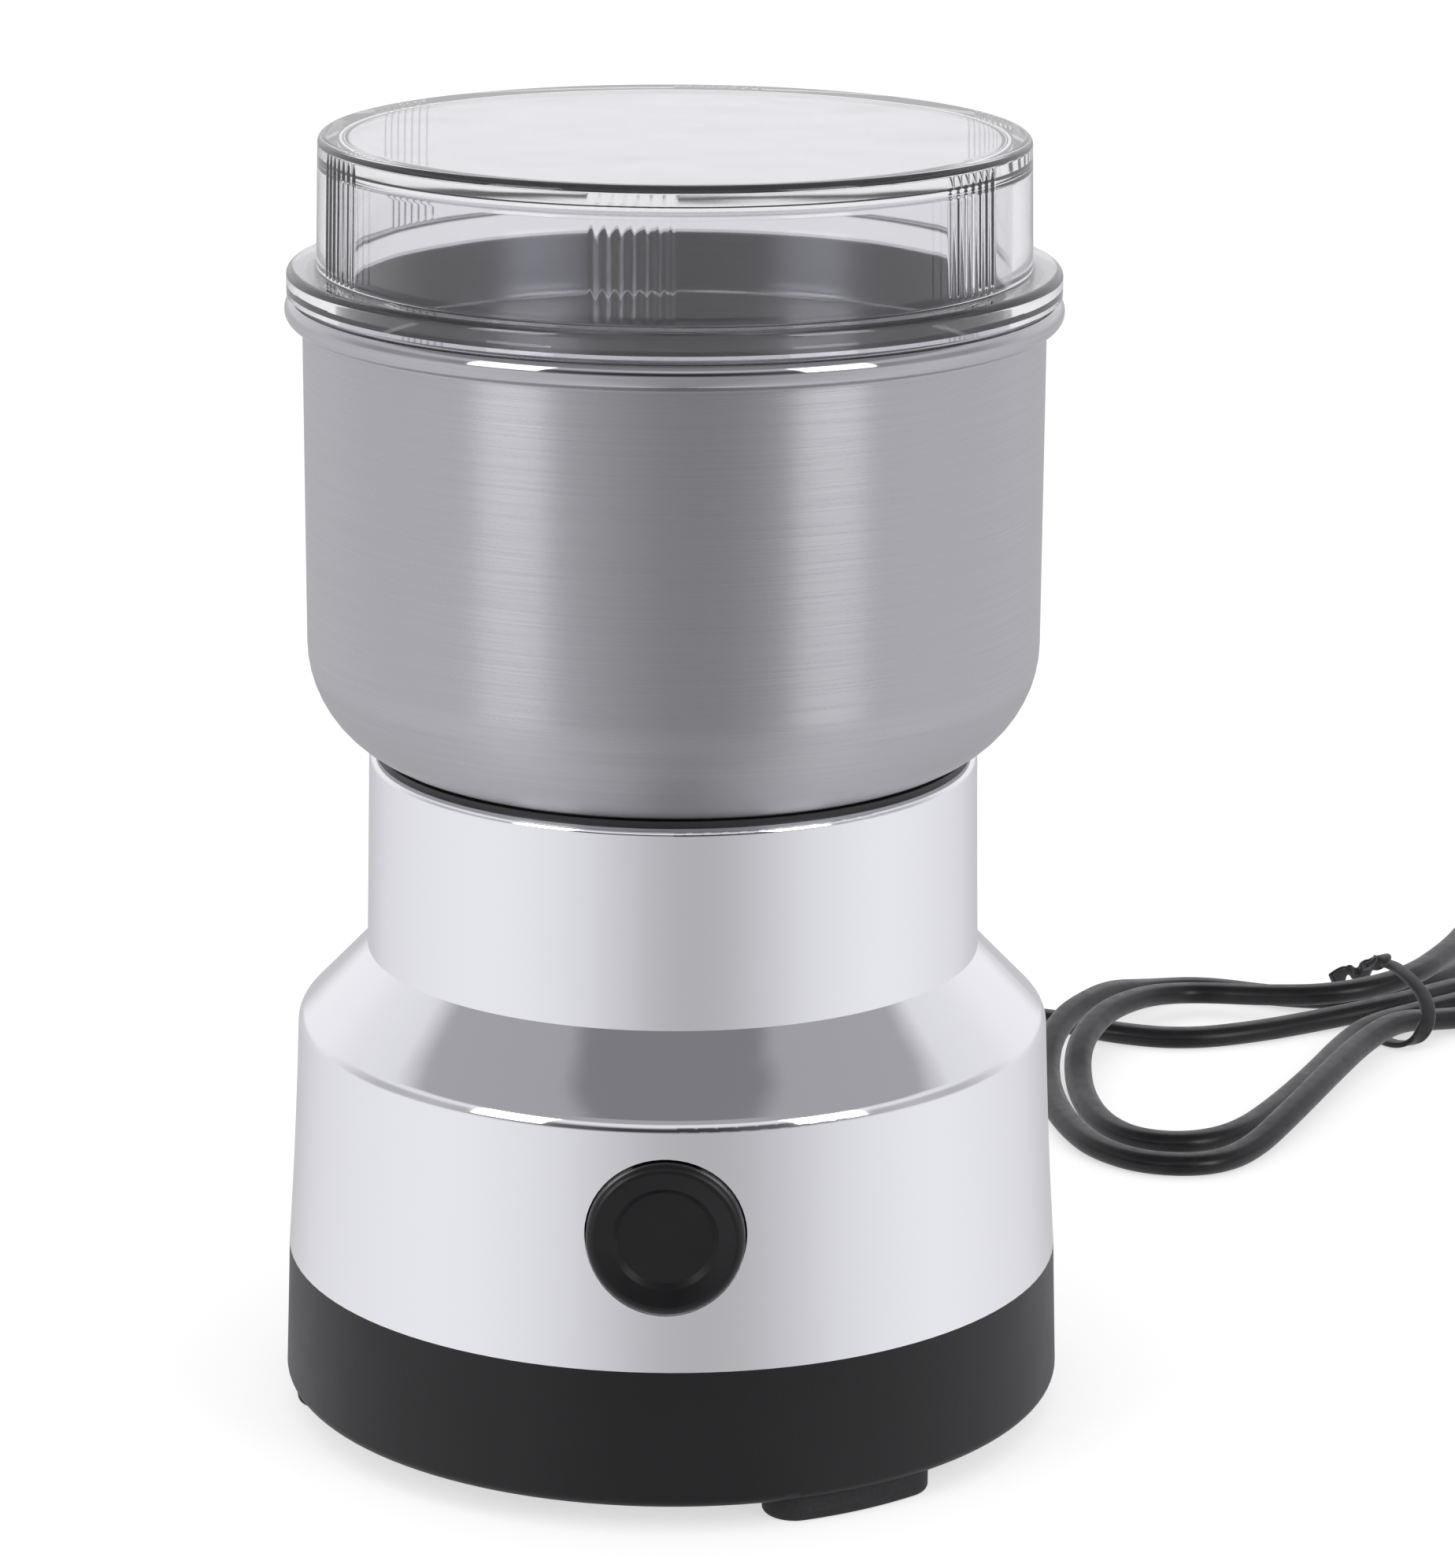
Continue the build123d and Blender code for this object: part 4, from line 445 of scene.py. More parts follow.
# zinc-plated steel: bright, with the faint blue and straw bloom of its passivation
bloom_mm = 3.0
zinc_plate = material("zinc_plated_steel")
place = add(zinc_plate, "TexCoord").outputs["Object"]
bloom = add(zinc_plate, "TexNoise", {"Vector": place, "Scale": 1000 / bloom_mm, "Detail": 3.0})
shade = add(zinc_plate, "ValToRGB", {"Fac": bloom}, stops=[(0.35, "#BCC3CB"), (0.65, "#D2CFC2")])
soft = add(zinc_plate, "MapRange", {"Value": bloom, **most_of_noise, "To Min": 0.24, "To Max": 0.38})
surface = add(zinc_plate, "BsdfPrincipled", {"Base Color": shade, "Metallic": 1.0, "Roughness": soft})
screws = ("motor_screws", "base_screws", "holder_screws", "clamp_screws")
dress(zinc_plate, surface, "stator_bolts", "bowl_nut", *screws)

# sintered bronze: brown-gold, full of tiny oil-filled pores
pore_mm = 0.25
sintered_bronze = material("sintered_bronze")
place = add(sintered_bronze, "TexCoord").outputs["Object"]
pores = add(sintered_bronze, "TexVoronoi", {"Vector": place, "Scale": 1000 / pore_mm})
depth = pores.outputs["Distance"]
shade = add(sintered_bronze, "ValToRGB", {"Fac": depth}, stops=[(0.1, "#5A3E20"), (0.45, "#A9803F")])
bumped = add(
    sintered_bronze, "Bump", {"Height": depth, "Strength": 0.4, "Distance": 0.00004}
)
surface = add(
    sintered_bronze,
    "BsdfPrincipled",
    {"Base Color": shade, "Metallic": 1.0, "Roughness": 0.42, "Normal": bumped},
)
dress(sintered_bronze, surface, "upper_bearing", "lower_bearing")

# ------------------------------------------------------------------------------------------------
# Stator
# Electrical steel sheets 0.5 mm thick, stamped, stacked and varnished, with a coil of enamelled
# copper wire round each of its two poles.
# ------------------------------------------------------------------------------------------------

# varnished laminations: dark steel edges in 0.5 mm layers under a thin amber coat
# (a wave texture of scale 1 repeats every one_wave)
sheet_mm = 0.5
one_wave = 2 * math.pi / 20
laminations = material("varnished_laminations")
place = add(laminations, "TexCoord").outputs["Object"]
layers = add(
    laminations, "TexWave", {"Vector": place, "Scale": 1000 * one_wave / sheet_mm}, bands_direction="Z"
)
rust = add(laminations, "TexNoise", {"Vector": place, "Scale": 260.0, "Detail": 4.0})
shade = add(laminations, "ValToRGB", {"Fac": rust}, stops=[(0.35, "#5E5D5C"), (0.7, "#7A746A")])
soft = add(laminations, "MapRange", {"Value": rust, "To Min": 0.3, "To Max": 0.5})
bumped = add(laminations, "Bump", {"Height": layers.outputs["Fac"], "Strength": 0.6, "Distance": 0.00008})
surface = add(
    laminations,
    "BsdfPrincipled",
    {
        "Base Color": shade,
        "Metallic": 1.0,
        "Roughness": soft,
        "Coat Weight": 0.5,
        "Coat Roughness": 0.15,
        "Normal": bumped,
    },
)
dress(laminations, surface, "stator_core", "armature_core")

# enamelled copper: red-brown wires 0.45 mm thick side by side, glossy with enamel
wire_mm = 0.45
for wound, across_wires in (("field_coils", "X"), ("armature_winding", "Z")):
    enamelled_copper = material("enamelled_copper_of_" + wound)
    place = add(enamelled_copper, "TexCoord").outputs["Object"]
    wires = add(
        enamelled_copper,
        "TexWave",
        {"Vector": place, "Scale": 1000 * one_wave / wire_mm, "Distortion": 0.8, "Detail Scale": 0.4},
        bands_direction=across_wires,
    )
    tone = add(enamelled_copper, "TexNoise", {"Vector": place, "Scale": 300.0, "Detail": 2.0})
    shade = add(enamelled_copper, "ValToRGB", {"Fac": tone}, stops=[(0.3, "#8A4120"), (0.7, "#B4602F")])
    bumped = add(
        enamelled_copper, "Bump", {"Height": wires.outputs["Fac"], "Strength": 0.9, "Distance": 0.00022}
    )
    surface = add(
        enamelled_copper,
        "BsdfPrincipled",
        {
            "Base Color": shade,
            "Metallic": 1.0,
            "Roughness": 0.3,
            "Coat Weight": 0.8,
            "Coat Roughness": 0.08,
            "Normal": bumped,
        },
    )
    dress(enamelled_copper, surface, wound)

# ------------------------------------------------------------------------------------------------
# Rotor
# A ground steel shaft with the armature, its commutator of copper bars, fibre thrust washers and a
# moulded fan below that draws air through the base.
# ------------------------------------------------------------------------------------------------

# ground steel: bright, with fine lines round the axis left by the wheel
ground_mm = 0.15
ground_steel = material("ground_shaft_steel")
place = add(ground_steel, "TexCoord").outputs["Object"]
lines_round = add(ground_steel, "Mapping", {"Vector": place, "Scale": (60, 60, 1000 / ground_mm)})
lines = add(ground_steel, "TexNoise", {"Vector": lines_round, "Scale": 1.0, "Detail": 2.0})
shade = add(ground_steel, "ValToRGB", {"Fac": lines}, stops=[(0.3, "#C2C4C7"), (0.7, "#D6D7D9")])
soft = add(ground_steel, "MapRange", {"Value": lines, **most_of_noise, "To Min": 0.16, "To Max": 0.26})
bumped = add(ground_steel, "Bump", {"Height": lines, "Strength": 0.2, "Distance": 0.00002})
surface = add(
    ground_steel, "BsdfPrincipled", {"Base Color": shade, "Metallic": 1.0, "Roughness": soft, "Normal": bumped}
)
dress(ground_steel, surface, "motor_shaft", "blade_nut")

# commutator: hard-drawn copper bars with thin dark lines of mica between them
bars = 16
bar_copper = material("commutator_copper")
place = add(bar_copper, "TexCoord").outputs["Object"]
turn = add(bar_copper, "TexGradient", {"Vector": place}, gradient_type="RADIAL")
counted = add(bar_copper, "Math", {0: turn.outputs["Fac"], 1: float(bars)}, operation="MULTIPLY")
part_bar = add(bar_copper, "Math", {0: counted}, operation="FRACT")
shade = add(
    bar_copper,
    "ValToRGB",
    {"Fac": part_bar},
    stops=[(0.0, "#3A2E22"), (0.06, "#B46A3C"), (0.94, "#B46A3C"), (1.0, "#3A2E22")],
)
worn = add(bar_copper, "TexNoise", {"Vector": place, "Scale": 500.0, "Detail": 3.0})
soft = add(bar_copper, "MapRange", {"Value": worn, "To Min": 0.2, "To Max": 0.42})
surface = add(bar_copper, "BsdfPrincipled", {"Base Color": shade, "Metallic": 1.0, "Roughness": soft})
dress(bar_copper, surface, "commutator")

# hard fibre: red-brown paper board, with short fibres in it
fibre_mm = 0.8
hard_fibre = material("vulcanised_fibre")
place = add(hard_fibre, "TexCoord").outputs["Object"]
fibres = add(
    hard_fibre, "TexNoise", {"Vector": place, "Scale": 1000 / fibre_mm, "Detail": 5.0, "Roughness": 0.7}
)
shade = add(hard_fibre, "ValToRGB", {"Fac": fibres}, stops=[(0.35, "#5B3420"), (0.7, "#7E4C30")])
surface = add(hard_fibre, "BsdfPrincipled", {"Base Color": shade, "Roughness": 0.6, "IOR": 1.5})
dress(hard_fibre, surface, "thrust_washers")

# natural nylon: milky white, waxy, a little cloudy
natural_nylon = material("natural_nylon")
place = add(natural_nylon, "TexCoord").outputs["Object"]
cloud = add(natural_nylon, "TexNoise", {"Vector": place, "Scale": 130.0, "Detail": 3.0})
shade = add(natural_nylon, "ValToRGB", {"Fac": cloud}, stops=[(0.3, "#D2CEBF"), (0.7, "#E0DDD0")])
soft = add(natural_nylon, "MapRange", {"Value": cloud, "To Min": 0.36, "To Max": 0.5})
surface = add(
    natural_nylon,
    "BsdfPrincipled",
    {"Base Color": shade, "Roughness": soft, "IOR": 1.53, "Subsurface Weight": 0.15, "Subsurface Scale": 0.001},
)
dress(natural_nylon, surface, "cooling_fan", "switch_holder", "cord_clamp")

# ------------------------------------------------------------------------------------------------
# Brushes
# Two folded brass boxes on the lower bracket's arms. In each a bronze spring pushes a block of
# pressed carbon against the commutator.
# ------------------------------------------------------------------------------------------------

# folded brass sheet: yellow, dulled by heat in clouds
brass = material("folded_brass")
place = add(brass, "TexCoord").outputs["Object"]
tarnish = add(brass, "TexNoise", {"Vector": place, "Scale": 260.0, "Detail": 4.0})
shade = add(brass, "ValToRGB", {"Fac": tarnish}, stops=[(0.3, "#A98545"), (0.7, "#CFAE62")])
soft = add(brass, "MapRange", {"Value": tarnish, "To Min": 0.22, "To Max": 0.42})
surface = add(brass, "BsdfPrincipled", {"Base Color": shade, "Metallic": 1.0, "Roughness": soft})
dress(brass, surface, "brush_boxes", "brush_springs")

# pressed carbon: near black, with specks of graphite that glint
speck_mm = 0.3
pressed_carbon = material("pressed_carbon")
place = add(pressed_carbon, "TexCoord").outputs["Object"]
specks = add(
    pressed_carbon, "TexNoise", {"Vector": place, "Scale": 1000 / speck_mm, "Detail": 3.0, "Roughness": 0.8}
)
shade = add(pressed_carbon, "ValToRGB", {"Fac": specks}, stops=[(0.5, "#1A1A1B"), (0.72, "#3C3C3E")])
soft = add(pressed_carbon, "MapRange", {"Value": specks, "To Min": 0.65, "To Max": 0.35})
surface = add(pressed_carbon, "BsdfPrincipled", {"Base Color": shade, "Roughness": soft, "IOR": 1.6})
dress(pressed_carbon, surface, "carbon_brushes")

# ------------------------------------------------------------------------------------------------
# Housing
# One shell of ABS, moulded and then silvered, from the base up over the shoulder to the neck. It
# is turned true all round, so its outside shades as one unbroken curve.
# ------------------------------------------------------------------------------------------------


def rounded(corners_mm, radii_mm, steps=14):
    """The outline through the corners (radius, height), each corner eased to its radius."""
    outline = [Vector(corners_mm[0])]
    for before, corner, after, radius in zip(corners_mm, corners_mm[1:], corners_mm[2:], radii_mm):
        before, corner, after = Vector(before), Vector(corner), Vector(after)
        if not radius:
            outline.append(corner)
            continue
        into, out_of = (before - corner).normalized(), (after - corner).normalized()
        half = into.angle(out_of) / 2
        centre = corner + (into + out_of).normalized() * radius / math.sin(half)
        first, last = corner + into * radius / math.tan(half), corner + out_of * radius / math.tan(half)
        swing = (first - centre).angle_signed(last - centre)
        for step in range(steps + 1):
            angle = -swing * step / steps
            outline.append(centre + Matrix.Rotation(angle, 2) @ (first - centre))
    outline.append(Vector(corners_mm[-1]))
    return outline


def turned(name, outline_mm, angles, ribbed=None):
    """The outline turned round the axis; ribbed gives how far the wall stands out at an angle and height."""
    corners, faces, rings = [], [], len(outline_mm)
    for angle in angles:
        for radius, height in outline_mm:
            out = (radius + (ribbed(angle, radius, height) if ribbed else 0)) / 1000
            corners.append((out * math.sin(angle), -out * math.cos(angle), height / 1000))
    for side in range(len(angles)):
        a, b = side * rings, (side + 1) % len(angles) * rings
        for ring in range(rings - 1):
            faces.append((a + ring, b + ring, b + ring + 1, a + ring + 1))
    mesh = bpy.data.meshes.new(name)
    mesh.from_pydata(corners, [], faces)
    joined = bmesh.new()
    joined.from_mesh(mesh)
    bmesh.ops.remove_doubles(joined, verts=joined.verts, dist=1e-7)
    bmesh.ops.recalc_face_normals(joined, faces=joined.faces)
    joined.to_mesh(mesh)
    joined.free()
    mesh.shade_smooth()
    mesh.set_sharp_from_angle(angle=math.radians(25))
    made = bpy.data.objects.new(name, mesh)
    scene.collection.objects.link(made)
    return made


def lend_curve(form, name, reach_mm, matched_by):
    """The node's skin within reach of the form shades as the form does."""
    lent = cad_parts[name].modifiers.new(form.name, "DATA_TRANSFER")
    lent.object = form
    lent.use_object_transform = False
    lent.use_loop_data = True
    lent.data_types_loops = {"CUSTOM_NORMAL"}
    lent.loop_mapping = matched_by
    lent.use_max_distance = True
    lent.max_distance = reach_mm / 1000


skirt_low, skirt_high, neck_low, neck_high = (49.8, 21.05), (48.15, 51.95), (39.2, 61.25), (38.7, 86.55)
skirt_hollow, skirt_steps, shoulder_round, neck_round, rim_inner_r = 0.16, 24, 2.6, 1.0, 30.0
skirt = []
for step in range(skirt_steps + 1):
    way_up = step / skirt_steps
    bow = 4 * way_up * (1 - way_up)
    straight_r = skirt_low[0] + (skirt_high[0] - skirt_low[0]) * way_up
    skirt.append((straight_r - skirt_hollow * bow, skirt_low[1] + (skirt_high[1] - skirt_low[1]) * way_up))
over_shoulder = rounded(
    [skirt[-4], skirt_high, neck_low, neck_high, (rim_inner_r, neck_high[1])], [shoulder_round, 0, neck_round]
)
housing_outline = skirt[:-4] + over_shoulder[1:]
# the skirt is matched straight outwards, so that the edge of the button's opening keeps its own shading
skirt_ends, shoulder_starts, lent_within_mm = 49.0, 46.0, 0.3
skirt_outline = [point for point in housing_outline if point[1] < skirt_ends]
shoulder_outline = [point for point in housing_outline if point[1] > shoulder_starts]
for form_name, outline, matched_by in (
    ("skirt_form", skirt_outline, "POLYINTERP_LNORPROJ"),
    ("shoulder_form", shoulder_outline, "NEAREST_POLYNOR"),
):
    housing_form = turned(form_name, outline, [math.radians(side / 2) for side in range(720)])
    housing_form.hide_render = housing_form.hide_viewport = True
    lend_curve(housing_form, "body_housing", lent_within_mm, matched_by)

# silvered ABS: a pale grey mirror, a little soft, with the faint ripple of a moulding
ripple_mm = 7.0
silvered_abs = material("silvered_abs")
place = add(silvered_abs, "TexCoord").outputs["Object"]
ripple = add(silvered_abs, "TexNoise", {"Vector": place, "Scale": 1000 / ripple_mm, "Detail": 1.0})
haze = add(silvered_abs, "TexNoise", {"Vector": place, "Scale": 45.0, "Detail": 3.0, "Roughness": 0.6})
soft = add(silvered_abs, "MapRange", {"Value": haze, **most_of_noise, "To Min": 0.06, "To Max": 0.09})
bumped = add(silvered_abs, "Bump", {"Height": ripple, "Strength": 0.02, "Distance": 0.001})
surface = add(
    silvered_abs,
    "BsdfPrincipled",
    {"Base Color": linear("#EDEDF0"), "Metallic": 1.0, "Roughness": soft, "Normal": bumped},
)
dress(silvered_abs, surface, "body_housing")

# ------------------------------------------------------------------------------------------------
# Button and switch
# A dished cap of black ABS slides in the round opening on a coil spring. Its stem works the red
# plunger of a small switch, which sits in a nylon holder screwed to bosses inside the housing.
# ------------------------------------------------------------------------------------------------

# black ABS, smooth from the mould: soft shine on its rounded edge, finger marks in the dish
smooth_abs = material("smooth_black_abs")
place = add(smooth_abs, "TexCoord").outputs["Object"]
touch = add(smooth_abs, "TexNoise", {"Vector": place, "Scale": 150.0, "Detail": 3.0})
shade = add(smooth_abs, "ValToRGB", {"Fac": touch}, stops=[(0.3, "#0C0C0E"), (0.7, "#111113")])
soft = add(smooth_abs, "MapRange", {"Value": touch, **most_of_noise, "To Min": 0.3, "To Max": 0.38})
surface = add(
    smooth_abs,
    "BsdfPrincipled",
    {"Base Color": shade, "Roughness": soft, "IOR": 1.48, "Specular IOR Level": 0.38},
)
dress(smooth_abs, surface, "power_button")

# spring steel: drawn wire with a thin oil film, darker than ground steel
drawn_mm = 0.4
spring_steel = material("oiled_spring_steel")
place = add(spring_steel, "TexCoord").outputs["Object"]
oil = add(spring_steel, "TexNoise", {"Vector": place, "Scale": 1000 / drawn_mm, "Detail": 2.0})
shade = add(spring_steel, "ValToRGB", {"Fac": oil}, stops=[(0.3, "#7C7E82"), (0.7, "#A3A4A7")])
soft = add(spring_steel, "MapRange", {"Value": oil, "To Min": 0.18, "To Max": 0.34})
surface = add(spring_steel, "BsdfPrincipled", {"Base Color": shade, "Metallic": 1.0, "Roughness": soft})
dress(spring_steel, surface, "button_spring")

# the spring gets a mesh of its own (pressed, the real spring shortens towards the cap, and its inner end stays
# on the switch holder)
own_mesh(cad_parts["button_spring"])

# moulded switch case: black glass-filled nylon, dull, with fibres just under the skin
glass_mm = 0.5
filled_nylon = material("black_glass_filled_nylon")
place = add(filled_nylon, "TexCoord").outputs["Object"]
glass = add(
    filled_nylon, "TexNoise", {"Vector": place, "Scale": 1000 / glass_mm, "Detail": 4.0, "Roughness": 0.7}
)
shade = add(filled_nylon, "ValToRGB", {"Fac": glass}, stops=[(0.4, "#161618"), (0.75, "#2A2A2D")])
soft = add(filled_nylon, "MapRange", {"Value": glass, "To Min": 0.42, "To Max": 0.62})
bumped = add(filled_nylon, "Bump", {"Height": glass, "Strength": 0.2, "Distance": 0.00006})
surface = add(
    filled_nylon, "BsdfPrincipled", {"Base Color": shade, "Roughness": soft, "IOR": 1.53, "Normal": bumped}
)
dress(filled_nylon, surface, "switch_body", "blade_hub")

# red acetal: the plunger, waxy and bright
red_acetal = material("red_acetal")
place = add(red_acetal, "TexCoord").outputs["Object"]
wax = add(red_acetal, "TexNoise", {"Vector": place, "Scale": 400.0, "Detail": 2.0})
shade = add(red_acetal, "ValToRGB", {"Fac": wax}, stops=[(0.3, "#A51A14"), (0.7, "#B8261C")])
surface = add(red_acetal, "BsdfPrincipled", {"Base Color": shade, "Roughness": 0.32, "IOR": 1.48})
dress(red_acetal, surface, "switch_plunger")

# tinned brass: grey-white over yellow, where the solder has flowed
tinned_brass = material("tinned_brass")
place = add(tinned_brass, "TexCoord").outputs["Object"]
flow = add(tinned_brass, "TexNoise", {"Vector": place, "Scale": 500.0, "Detail": 3.0})
shade = add(tinned_brass, "ValToRGB", {"Fac": flow}, stops=[(0.4, "#CFB878"), (0.55, "#D0CEC8")])
soft = add(tinned_brass, "MapRange", {"Value": flow, "To Min": 0.2, "To Max": 0.4})
surface = add(tinned_brass, "BsdfPrincipled", {"Base Color": shade, "Metallic": 1.0, "Roughness": soft})
dress(tinned_brass, surface, "switch_terminals")

# ------------------------------------------------------------------------------------------------
# Suppression capacitor and leads
# A film capacitor in a yellow box stands in the base beside the cord clamp. PVC-covered leads run
# from the mains cord and the switch to the field coils.
# ------------------------------------------------------------------------------------------------

# moulded polyester box: warm yellow, glossy, slightly uneven
yellow_polyester = material("yellow_polyester")
place = add(yellow_polyester, "TexCoord").outputs["Object"]
uneven = add(yellow_polyester, "TexNoise", {"Vector": place, "Scale": 160.0, "Detail": 3.0})
shade = add(yellow_polyester, "ValToRGB", {"Fac": uneven}, stops=[(0.3, "#C8961E"), (0.7, "#DBAC31")])
soft = add(yellow_polyester, "MapRange", {"Value": uneven, "To Min": 0.25, "To Max": 0.4})
surface = add(yellow_polyester, "BsdfPrincipled", {"Base Color": shade, "Roughness": soft, "IOR": 1.55})
dress(yellow_polyester, surface, "suppression_capacitor")

# PVC lead covers: smooth and glossy, each in its own colour, dusted by the brushes
for lead, dusty, clean in (
    ("lead_live", "#46281A", "#5E3420"),
    ("lead_neutral", "#1B3F7C", "#2450A0"),
    ("lead_motor", "#7A1A14", "#96221A"),
):
    lead_pvc = material("soft_pvc_of_" + lead)
    place = add(lead_pvc, "TexCoord").outputs["Object"]
    dust = add(lead_pvc, "TexNoise", {"Vector": place, "Scale": 300.0, "Detail": 4.0})
    shade = add(lead_pvc, "ValToRGB", {"Fac": dust}, stops=[(0.35, dusty), (0.6, clean)])
    soft = add(lead_pvc, "MapRange", {"Value": dust, "To Min": 0.45, "To Max": 0.28})
    surface = add(lead_pvc, "BsdfPrincipled", {"Base Color": shade, "Roughness": soft, "IOR": 1.53})
    dress(lead_pvc, surface, lead)

# ------------------------------------------------------------------------------------------------
# Bowl
# Pressed from 0.8 mm stainless sheet, its wall brushed round and its rim curled outwards and
# polished. It sits in a rubber ring on the neck, and a nut clamps its floor to the motor.
# ------------------------------------------------------------------------------------------------

bowl_r, sheet, floor_z, bottom_round, hole_r = 46.3, 0.8, 86.25, 15.0, 7.0
curl_middle, curl_r, curl_steps = (46.6, 143.55), 1.9, 32
rim_top = curl_middle[1] + curl_r
curl = []
for step in range(curl_steps + 1):
    # the curl starts low on the wall, swings out and comes over to the top of the rim
    angle = math.radians(-99.0 + 189.0 * step / curl_steps)
    curl.append((curl_middle[0] + curl_r * math.cos(angle), curl_middle[1] + curl_r * math.sin(angle)))
bowl_outside = rounded([(hole_r, floor_z), (bowl_r, floor_z), (bowl_r, curl[0][1])], [bottom_round])
bowl_inside = rounded(
    [
        (curl_middle[0], rim_top), (bowl_r - sheet, rim_top), (bowl_r - sheet, floor_z + sheet),
        (hole_r, floor_z + sheet),
    ],
    [sheet / 2, bottom_round - sheet],
)  # fmt: skip
bowl_outline = bowl_outside[:-1] + curl + bowl_inside[1:] + bowl_outside[:1]
steel_bowl = turned("steel_bowl", bowl_outline, [math.radians(side) for side in range(360)])
steel_bowl.modifiers.new("even_shading", "WEIGHTED_NORMAL").keep_sharp = True

# brushed stainless: scratches round the wall draw every reflection out into an upright band
# (the real scratches are about 0.05 mm apart; 0.16 mm is the finest that shows)
scratch_mm, scratch_long_mm = 0.16, 30.0
polished_above, brushed_below = 0.1418, 0.1412
brushed_steel = material("brushed_stainless_steel")
place = add(brushed_steel, "TexCoord").outputs["Object"]
stretched = add(
    brushed_steel,
    "Mapping",
    {"Vector": place, "Scale": (1000 / scratch_long_mm, 1000 / scratch_long_mm, 1000 / scratch_mm)},
)
scratches = add(
    brushed_steel, "TexNoise", {"Vector": stretched, "Scale": 1.0, "Detail": 3.0, "Roughness": 0.65}
)
height = add(brushed_steel, "SeparateXYZ", {"Vector": place})
edges = {"From Min": polished_above, "From Max": brushed_below}
on_wall = add(brushed_steel, "MapRange", {"Value": height.outputs["Z"], **edges})
soft = add(brushed_steel, "MapRange", {"Value": scratches, **most_of_noise, "To Min": 0.26, "To Max": 0.31})
rough = add(brushed_steel, "Mix", {0: on_wall, 2: 0.08, 3: soft}, data_type="FLOAT")
# inside, the scratches are deeper and spread the light further up and down the wall
flat_way = add(brushed_steel, "VectorMath", {0: place, 1: (1, 1, 0)}, operation="MULTIPLY")
from_axis = add(brushed_steel, "VectorMath", {0: flat_way}, operation="LENGTH")
sheet_middle, half_blend = (bowl_r - sheet / 2) / 1000, 0.0001
edges = {"From Min": sheet_middle + half_blend, "From Max": sheet_middle - half_blend}
within = add(brushed_steel, "MapRange", {"Value": from_axis.outputs["Value"], **edges})
rough = add(brushed_steel, "Mix", {0: within, 2: rough.outputs[0], 3: 0.37}, data_type="FLOAT")
shade = add(brushed_steel, "ValToRGB", {"Fac": scratches}, stops=[(0.3, "#B0B0B3"), (0.7, "#B9B9BC")])
strength = add(brushed_steel, "Math", {0: on_wall, 1: 0.25}, operation="MULTIPLY")
bumped = add(brushed_steel, "Bump", {"Height": scratches, "Strength": strength, "Distance": 0.000015})
round_wall = add(brushed_steel, "Tangent", direction_type="RADIAL", axis="Z")
surface = add(
    brushed_steel,
    "BsdfPrincipled",
    {
        "Base Color": shade,
        "Metallic": 1.0,
        "Roughness": rough,
        "Anisotropic": 0.88,
        "Anisotropic Rotation": 0.25,
        "Tangent": round_wall,
        "Normal": bumped,
    },
)
add(brushed_steel, "OutputMaterial", {"Surface": surface})
steel_bowl.data.materials.append(brushed_steel)
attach(steel_bowl, "housing")
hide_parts("grinding_bowl")

# ------------------------------------------------------------------------------------------------
# Blade
# Stamped from 1.5 mm stainless strip, its wings bent up and their leading edges ground sharp. It
# stands on a moulded hub on the shaft and is held by a turned nut.
# ------------------------------------------------------------------------------------------------

# stamped stainless: straight lines along the strip from rolling (the ground edges, brighter on the real blade,
# are not set apart here)
rolled_mm, rolled_long_mm = 0.2, 12.0
stamped_stainless = material("stamped_stainless_steel")
place = add(stamped_stainless, "TexCoord").outputs["Object"]
along_strip = add(
    stamped_stainless,
    "Mapping",
    {"Vector": place, "Scale": (1000 / rolled_long_mm, 1000 / rolled_mm, 1000 / rolled_mm)},
)
lines = add(stamped_stainless, "TexNoise", {"Vector": along_strip, "Scale": 1.0, "Detail": 3.0})
shade = add(stamped_stainless, "ValToRGB", {"Fac": lines}, stops=[(0.3, "#BDBEC0"), (0.7, "#D0D1D2")])
soft = add(stamped_stainless, "MapRange", {"Value": lines, **most_of_noise, "To Min": 0.18, "To Max": 0.32})
bumped = add(stamped_stainless, "Bump", {"Height": lines, "Strength": 0.3, "Distance": 0.00002})
surface = add(
    stamped_stainless,
    "BsdfPrincipled",
    {"Base Color": shade, "Metallic": 1.0, "Roughness": soft, "Normal": bumped},
)
dress(stamped_stainless, surface, "grinding_blade")

# ------------------------------------------------------------------------------------------------
# Lid
# One clear moulding of styrene acrylonitrile: a flat top plate inside a short wall, with groups of
# fine grip ribs on the wall, a flange that sits on the rim and a skirt inside the bowl.
# ------------------------------------------------------------------------------------------------

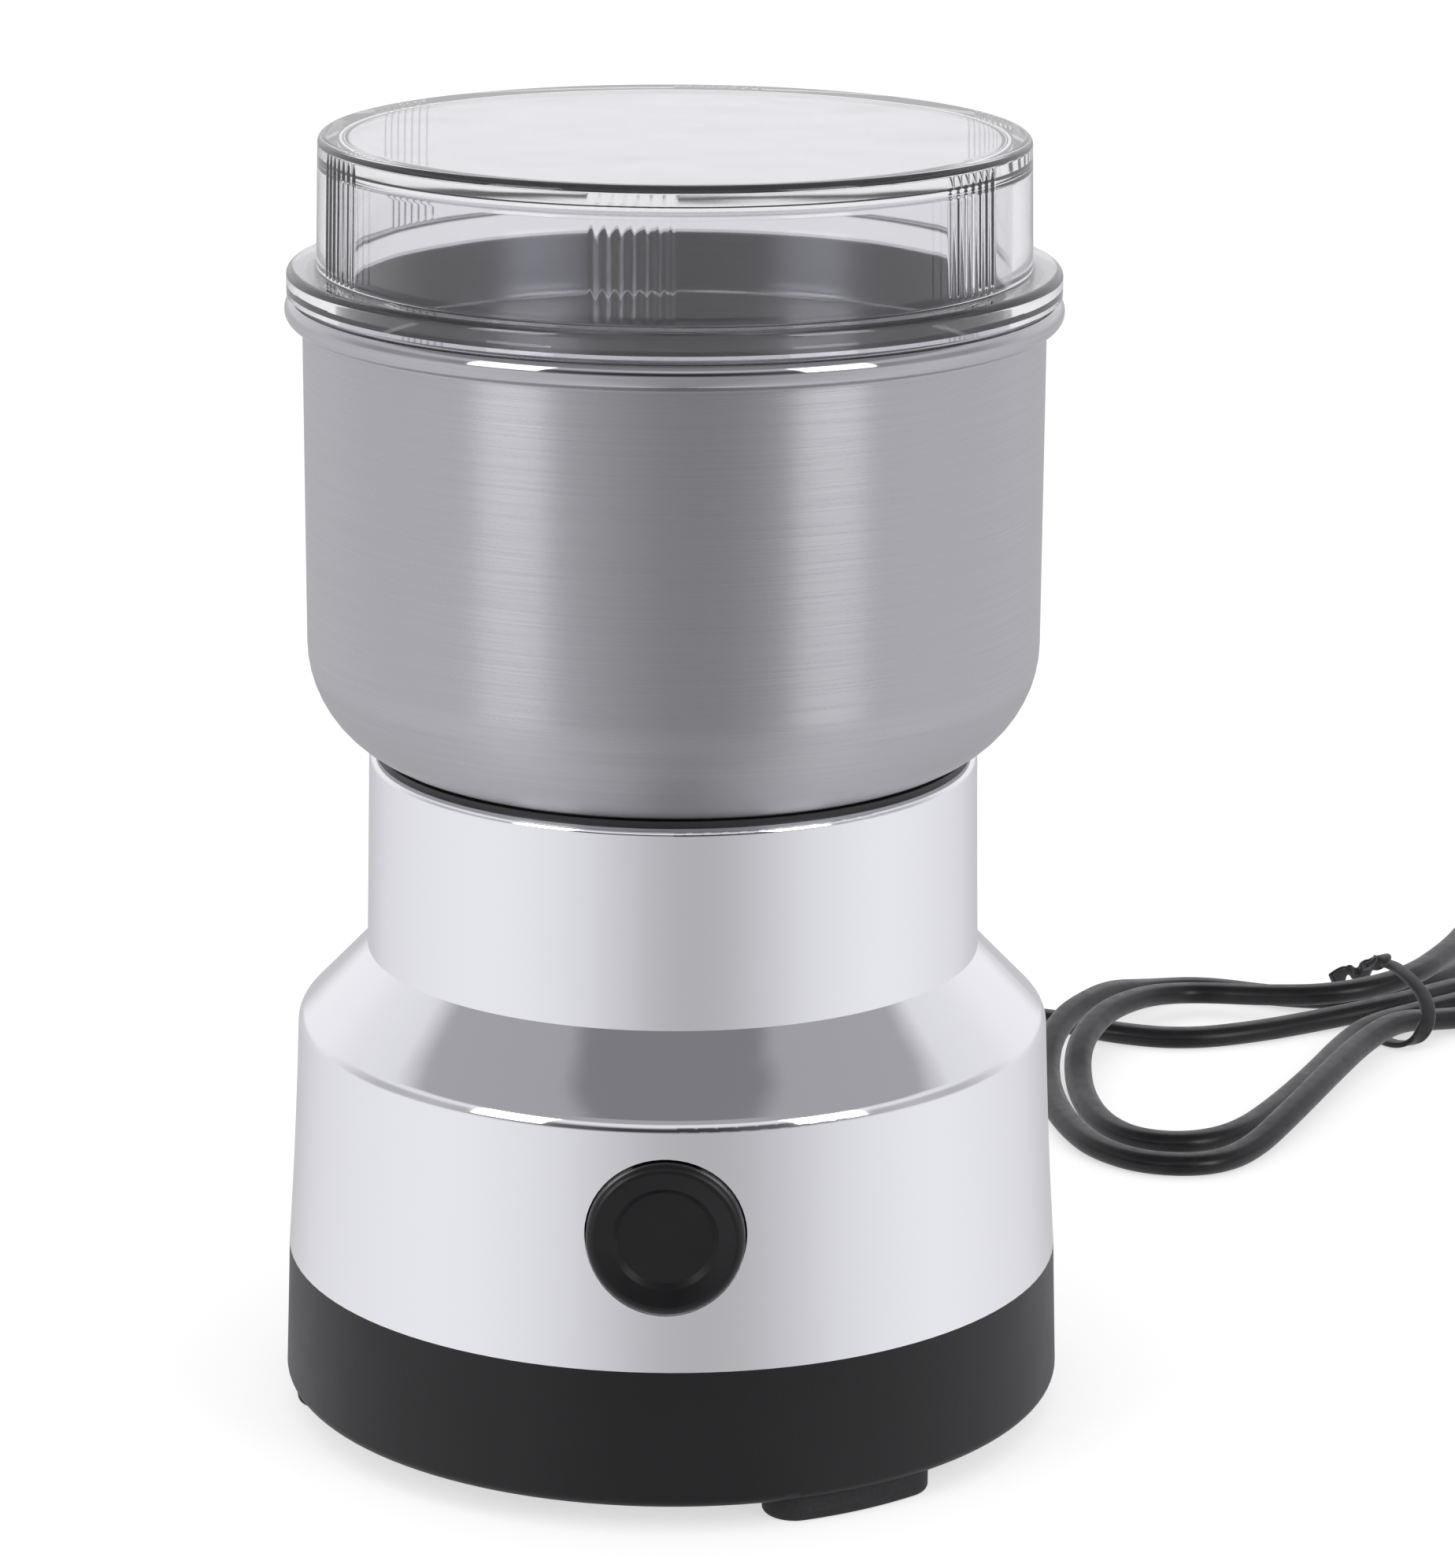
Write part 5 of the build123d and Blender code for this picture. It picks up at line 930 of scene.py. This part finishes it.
skirt_inner_r, skirt_z, wall_foot_r, flange_r = 42.15, 137.55, 44.55, 48.2
wall_top_r, top_inner_r, seat_z, flange_z, top_z, top_inner_z = 44.1, 41.7, 145.55, 148.85, 165.15, 162.35
lid_outside = rounded(
    [
        (skirt_inner_r, skirt_z), (wall_foot_r, skirt_z), (wall_foot_r, seat_z), (flange_r, seat_z),
        (flange_r, flange_z), (44.474, flange_z), (44.44, 150.1), (44.14, 163.0), (wall_top_r, top_z),
        (0.0, top_z),
    ],
    [0.4, 0, 0, 1.0, 0.3, 0, 0, 1.0],
)  # fmt: skip
lid_inside = rounded([(0.0, top_inner_z), (top_inner_r, top_inner_z), (skirt_inner_r, skirt_z)], [1.6])
rib_groups, ribs, rib_pitch, rib_wide, rib_high = 6, 7, 1.95, 1.7, 0.16
first_group, half_group = 5.6, rib_pitch * ribs / 2
rib_bed_r, rib_foot_z, rib_head_z = 43.9, 149.5, 163.4


def from_group(angle):
    """How many degrees an angle lies from the middle of the nearest group of ribs."""
    turned_by = math.degrees(angle) + first_group
    return turned_by - round(turned_by * rib_groups / 360) * 360 / rib_groups


def grip_ribs(angle, radius, height):
    """The ribs stand out from the outside of the wall only, and run out rounded at their ends."""
    away = from_group(angle)
    if radius < rib_bed_r or not rib_foot_z < height < rib_head_z or abs(away) > half_group:
        return 0.0
    off_rib = abs(away - round(away / rib_pitch) * rib_pitch) / (rib_wide / 2)
    return rib_high * math.cos(math.pi / 2 * off_rib) ** 2 if off_rib < 1 else 0.0


# the wall is cut five times finer in angle where it carries ribs and just beside them
fine_step, plain_step, look_ahead, beside = 0.195, 1.0, 0.1, 0.3
round_lid, angle = [], -180.0
while angle < 180.0 - 1e-6:
    round_lid.append(math.radians(angle))
    by_ribs = abs(from_group(math.radians(angle + look_ahead))) < half_group + beside
    angle += fine_step if by_ribs else plain_step
clear_lid = turned("lid_moulding", lid_outside + lid_inside, round_lid, grip_ribs)
clear_lid.modifiers.new("even_shading", "WEIGHTED_NORMAL").keep_sharp = True

# clear SAN: nearly colourless, a trace milky, with the slight waves of a thick moulding
wave_mm = 16.0
clear_san = material("clear_san")
place = add(clear_san, "TexCoord").outputs["Object"]
wave = add(clear_san, "TexNoise", {"Vector": place, "Scale": 1000 / wave_mm, "Detail": 1.0})
bumped = add(clear_san, "Bump", {"Height": wave, "Strength": 0.03, "Distance": 0.001})
surface = add(
    clear_san,
    "BsdfPrincipled",
    {
        "Base Color": linear("#EFEFF2"),
        "Roughness": 0.03,
        "IOR": 1.50,
        "Transmission Weight": 0.985,
        "Normal": bumped,
    },
)
add(clear_san, "OutputMaterial", {"Surface": surface})
clear_lid.data.materials.append(clear_san)
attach(clear_lid, "lid")
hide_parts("clear_lid")
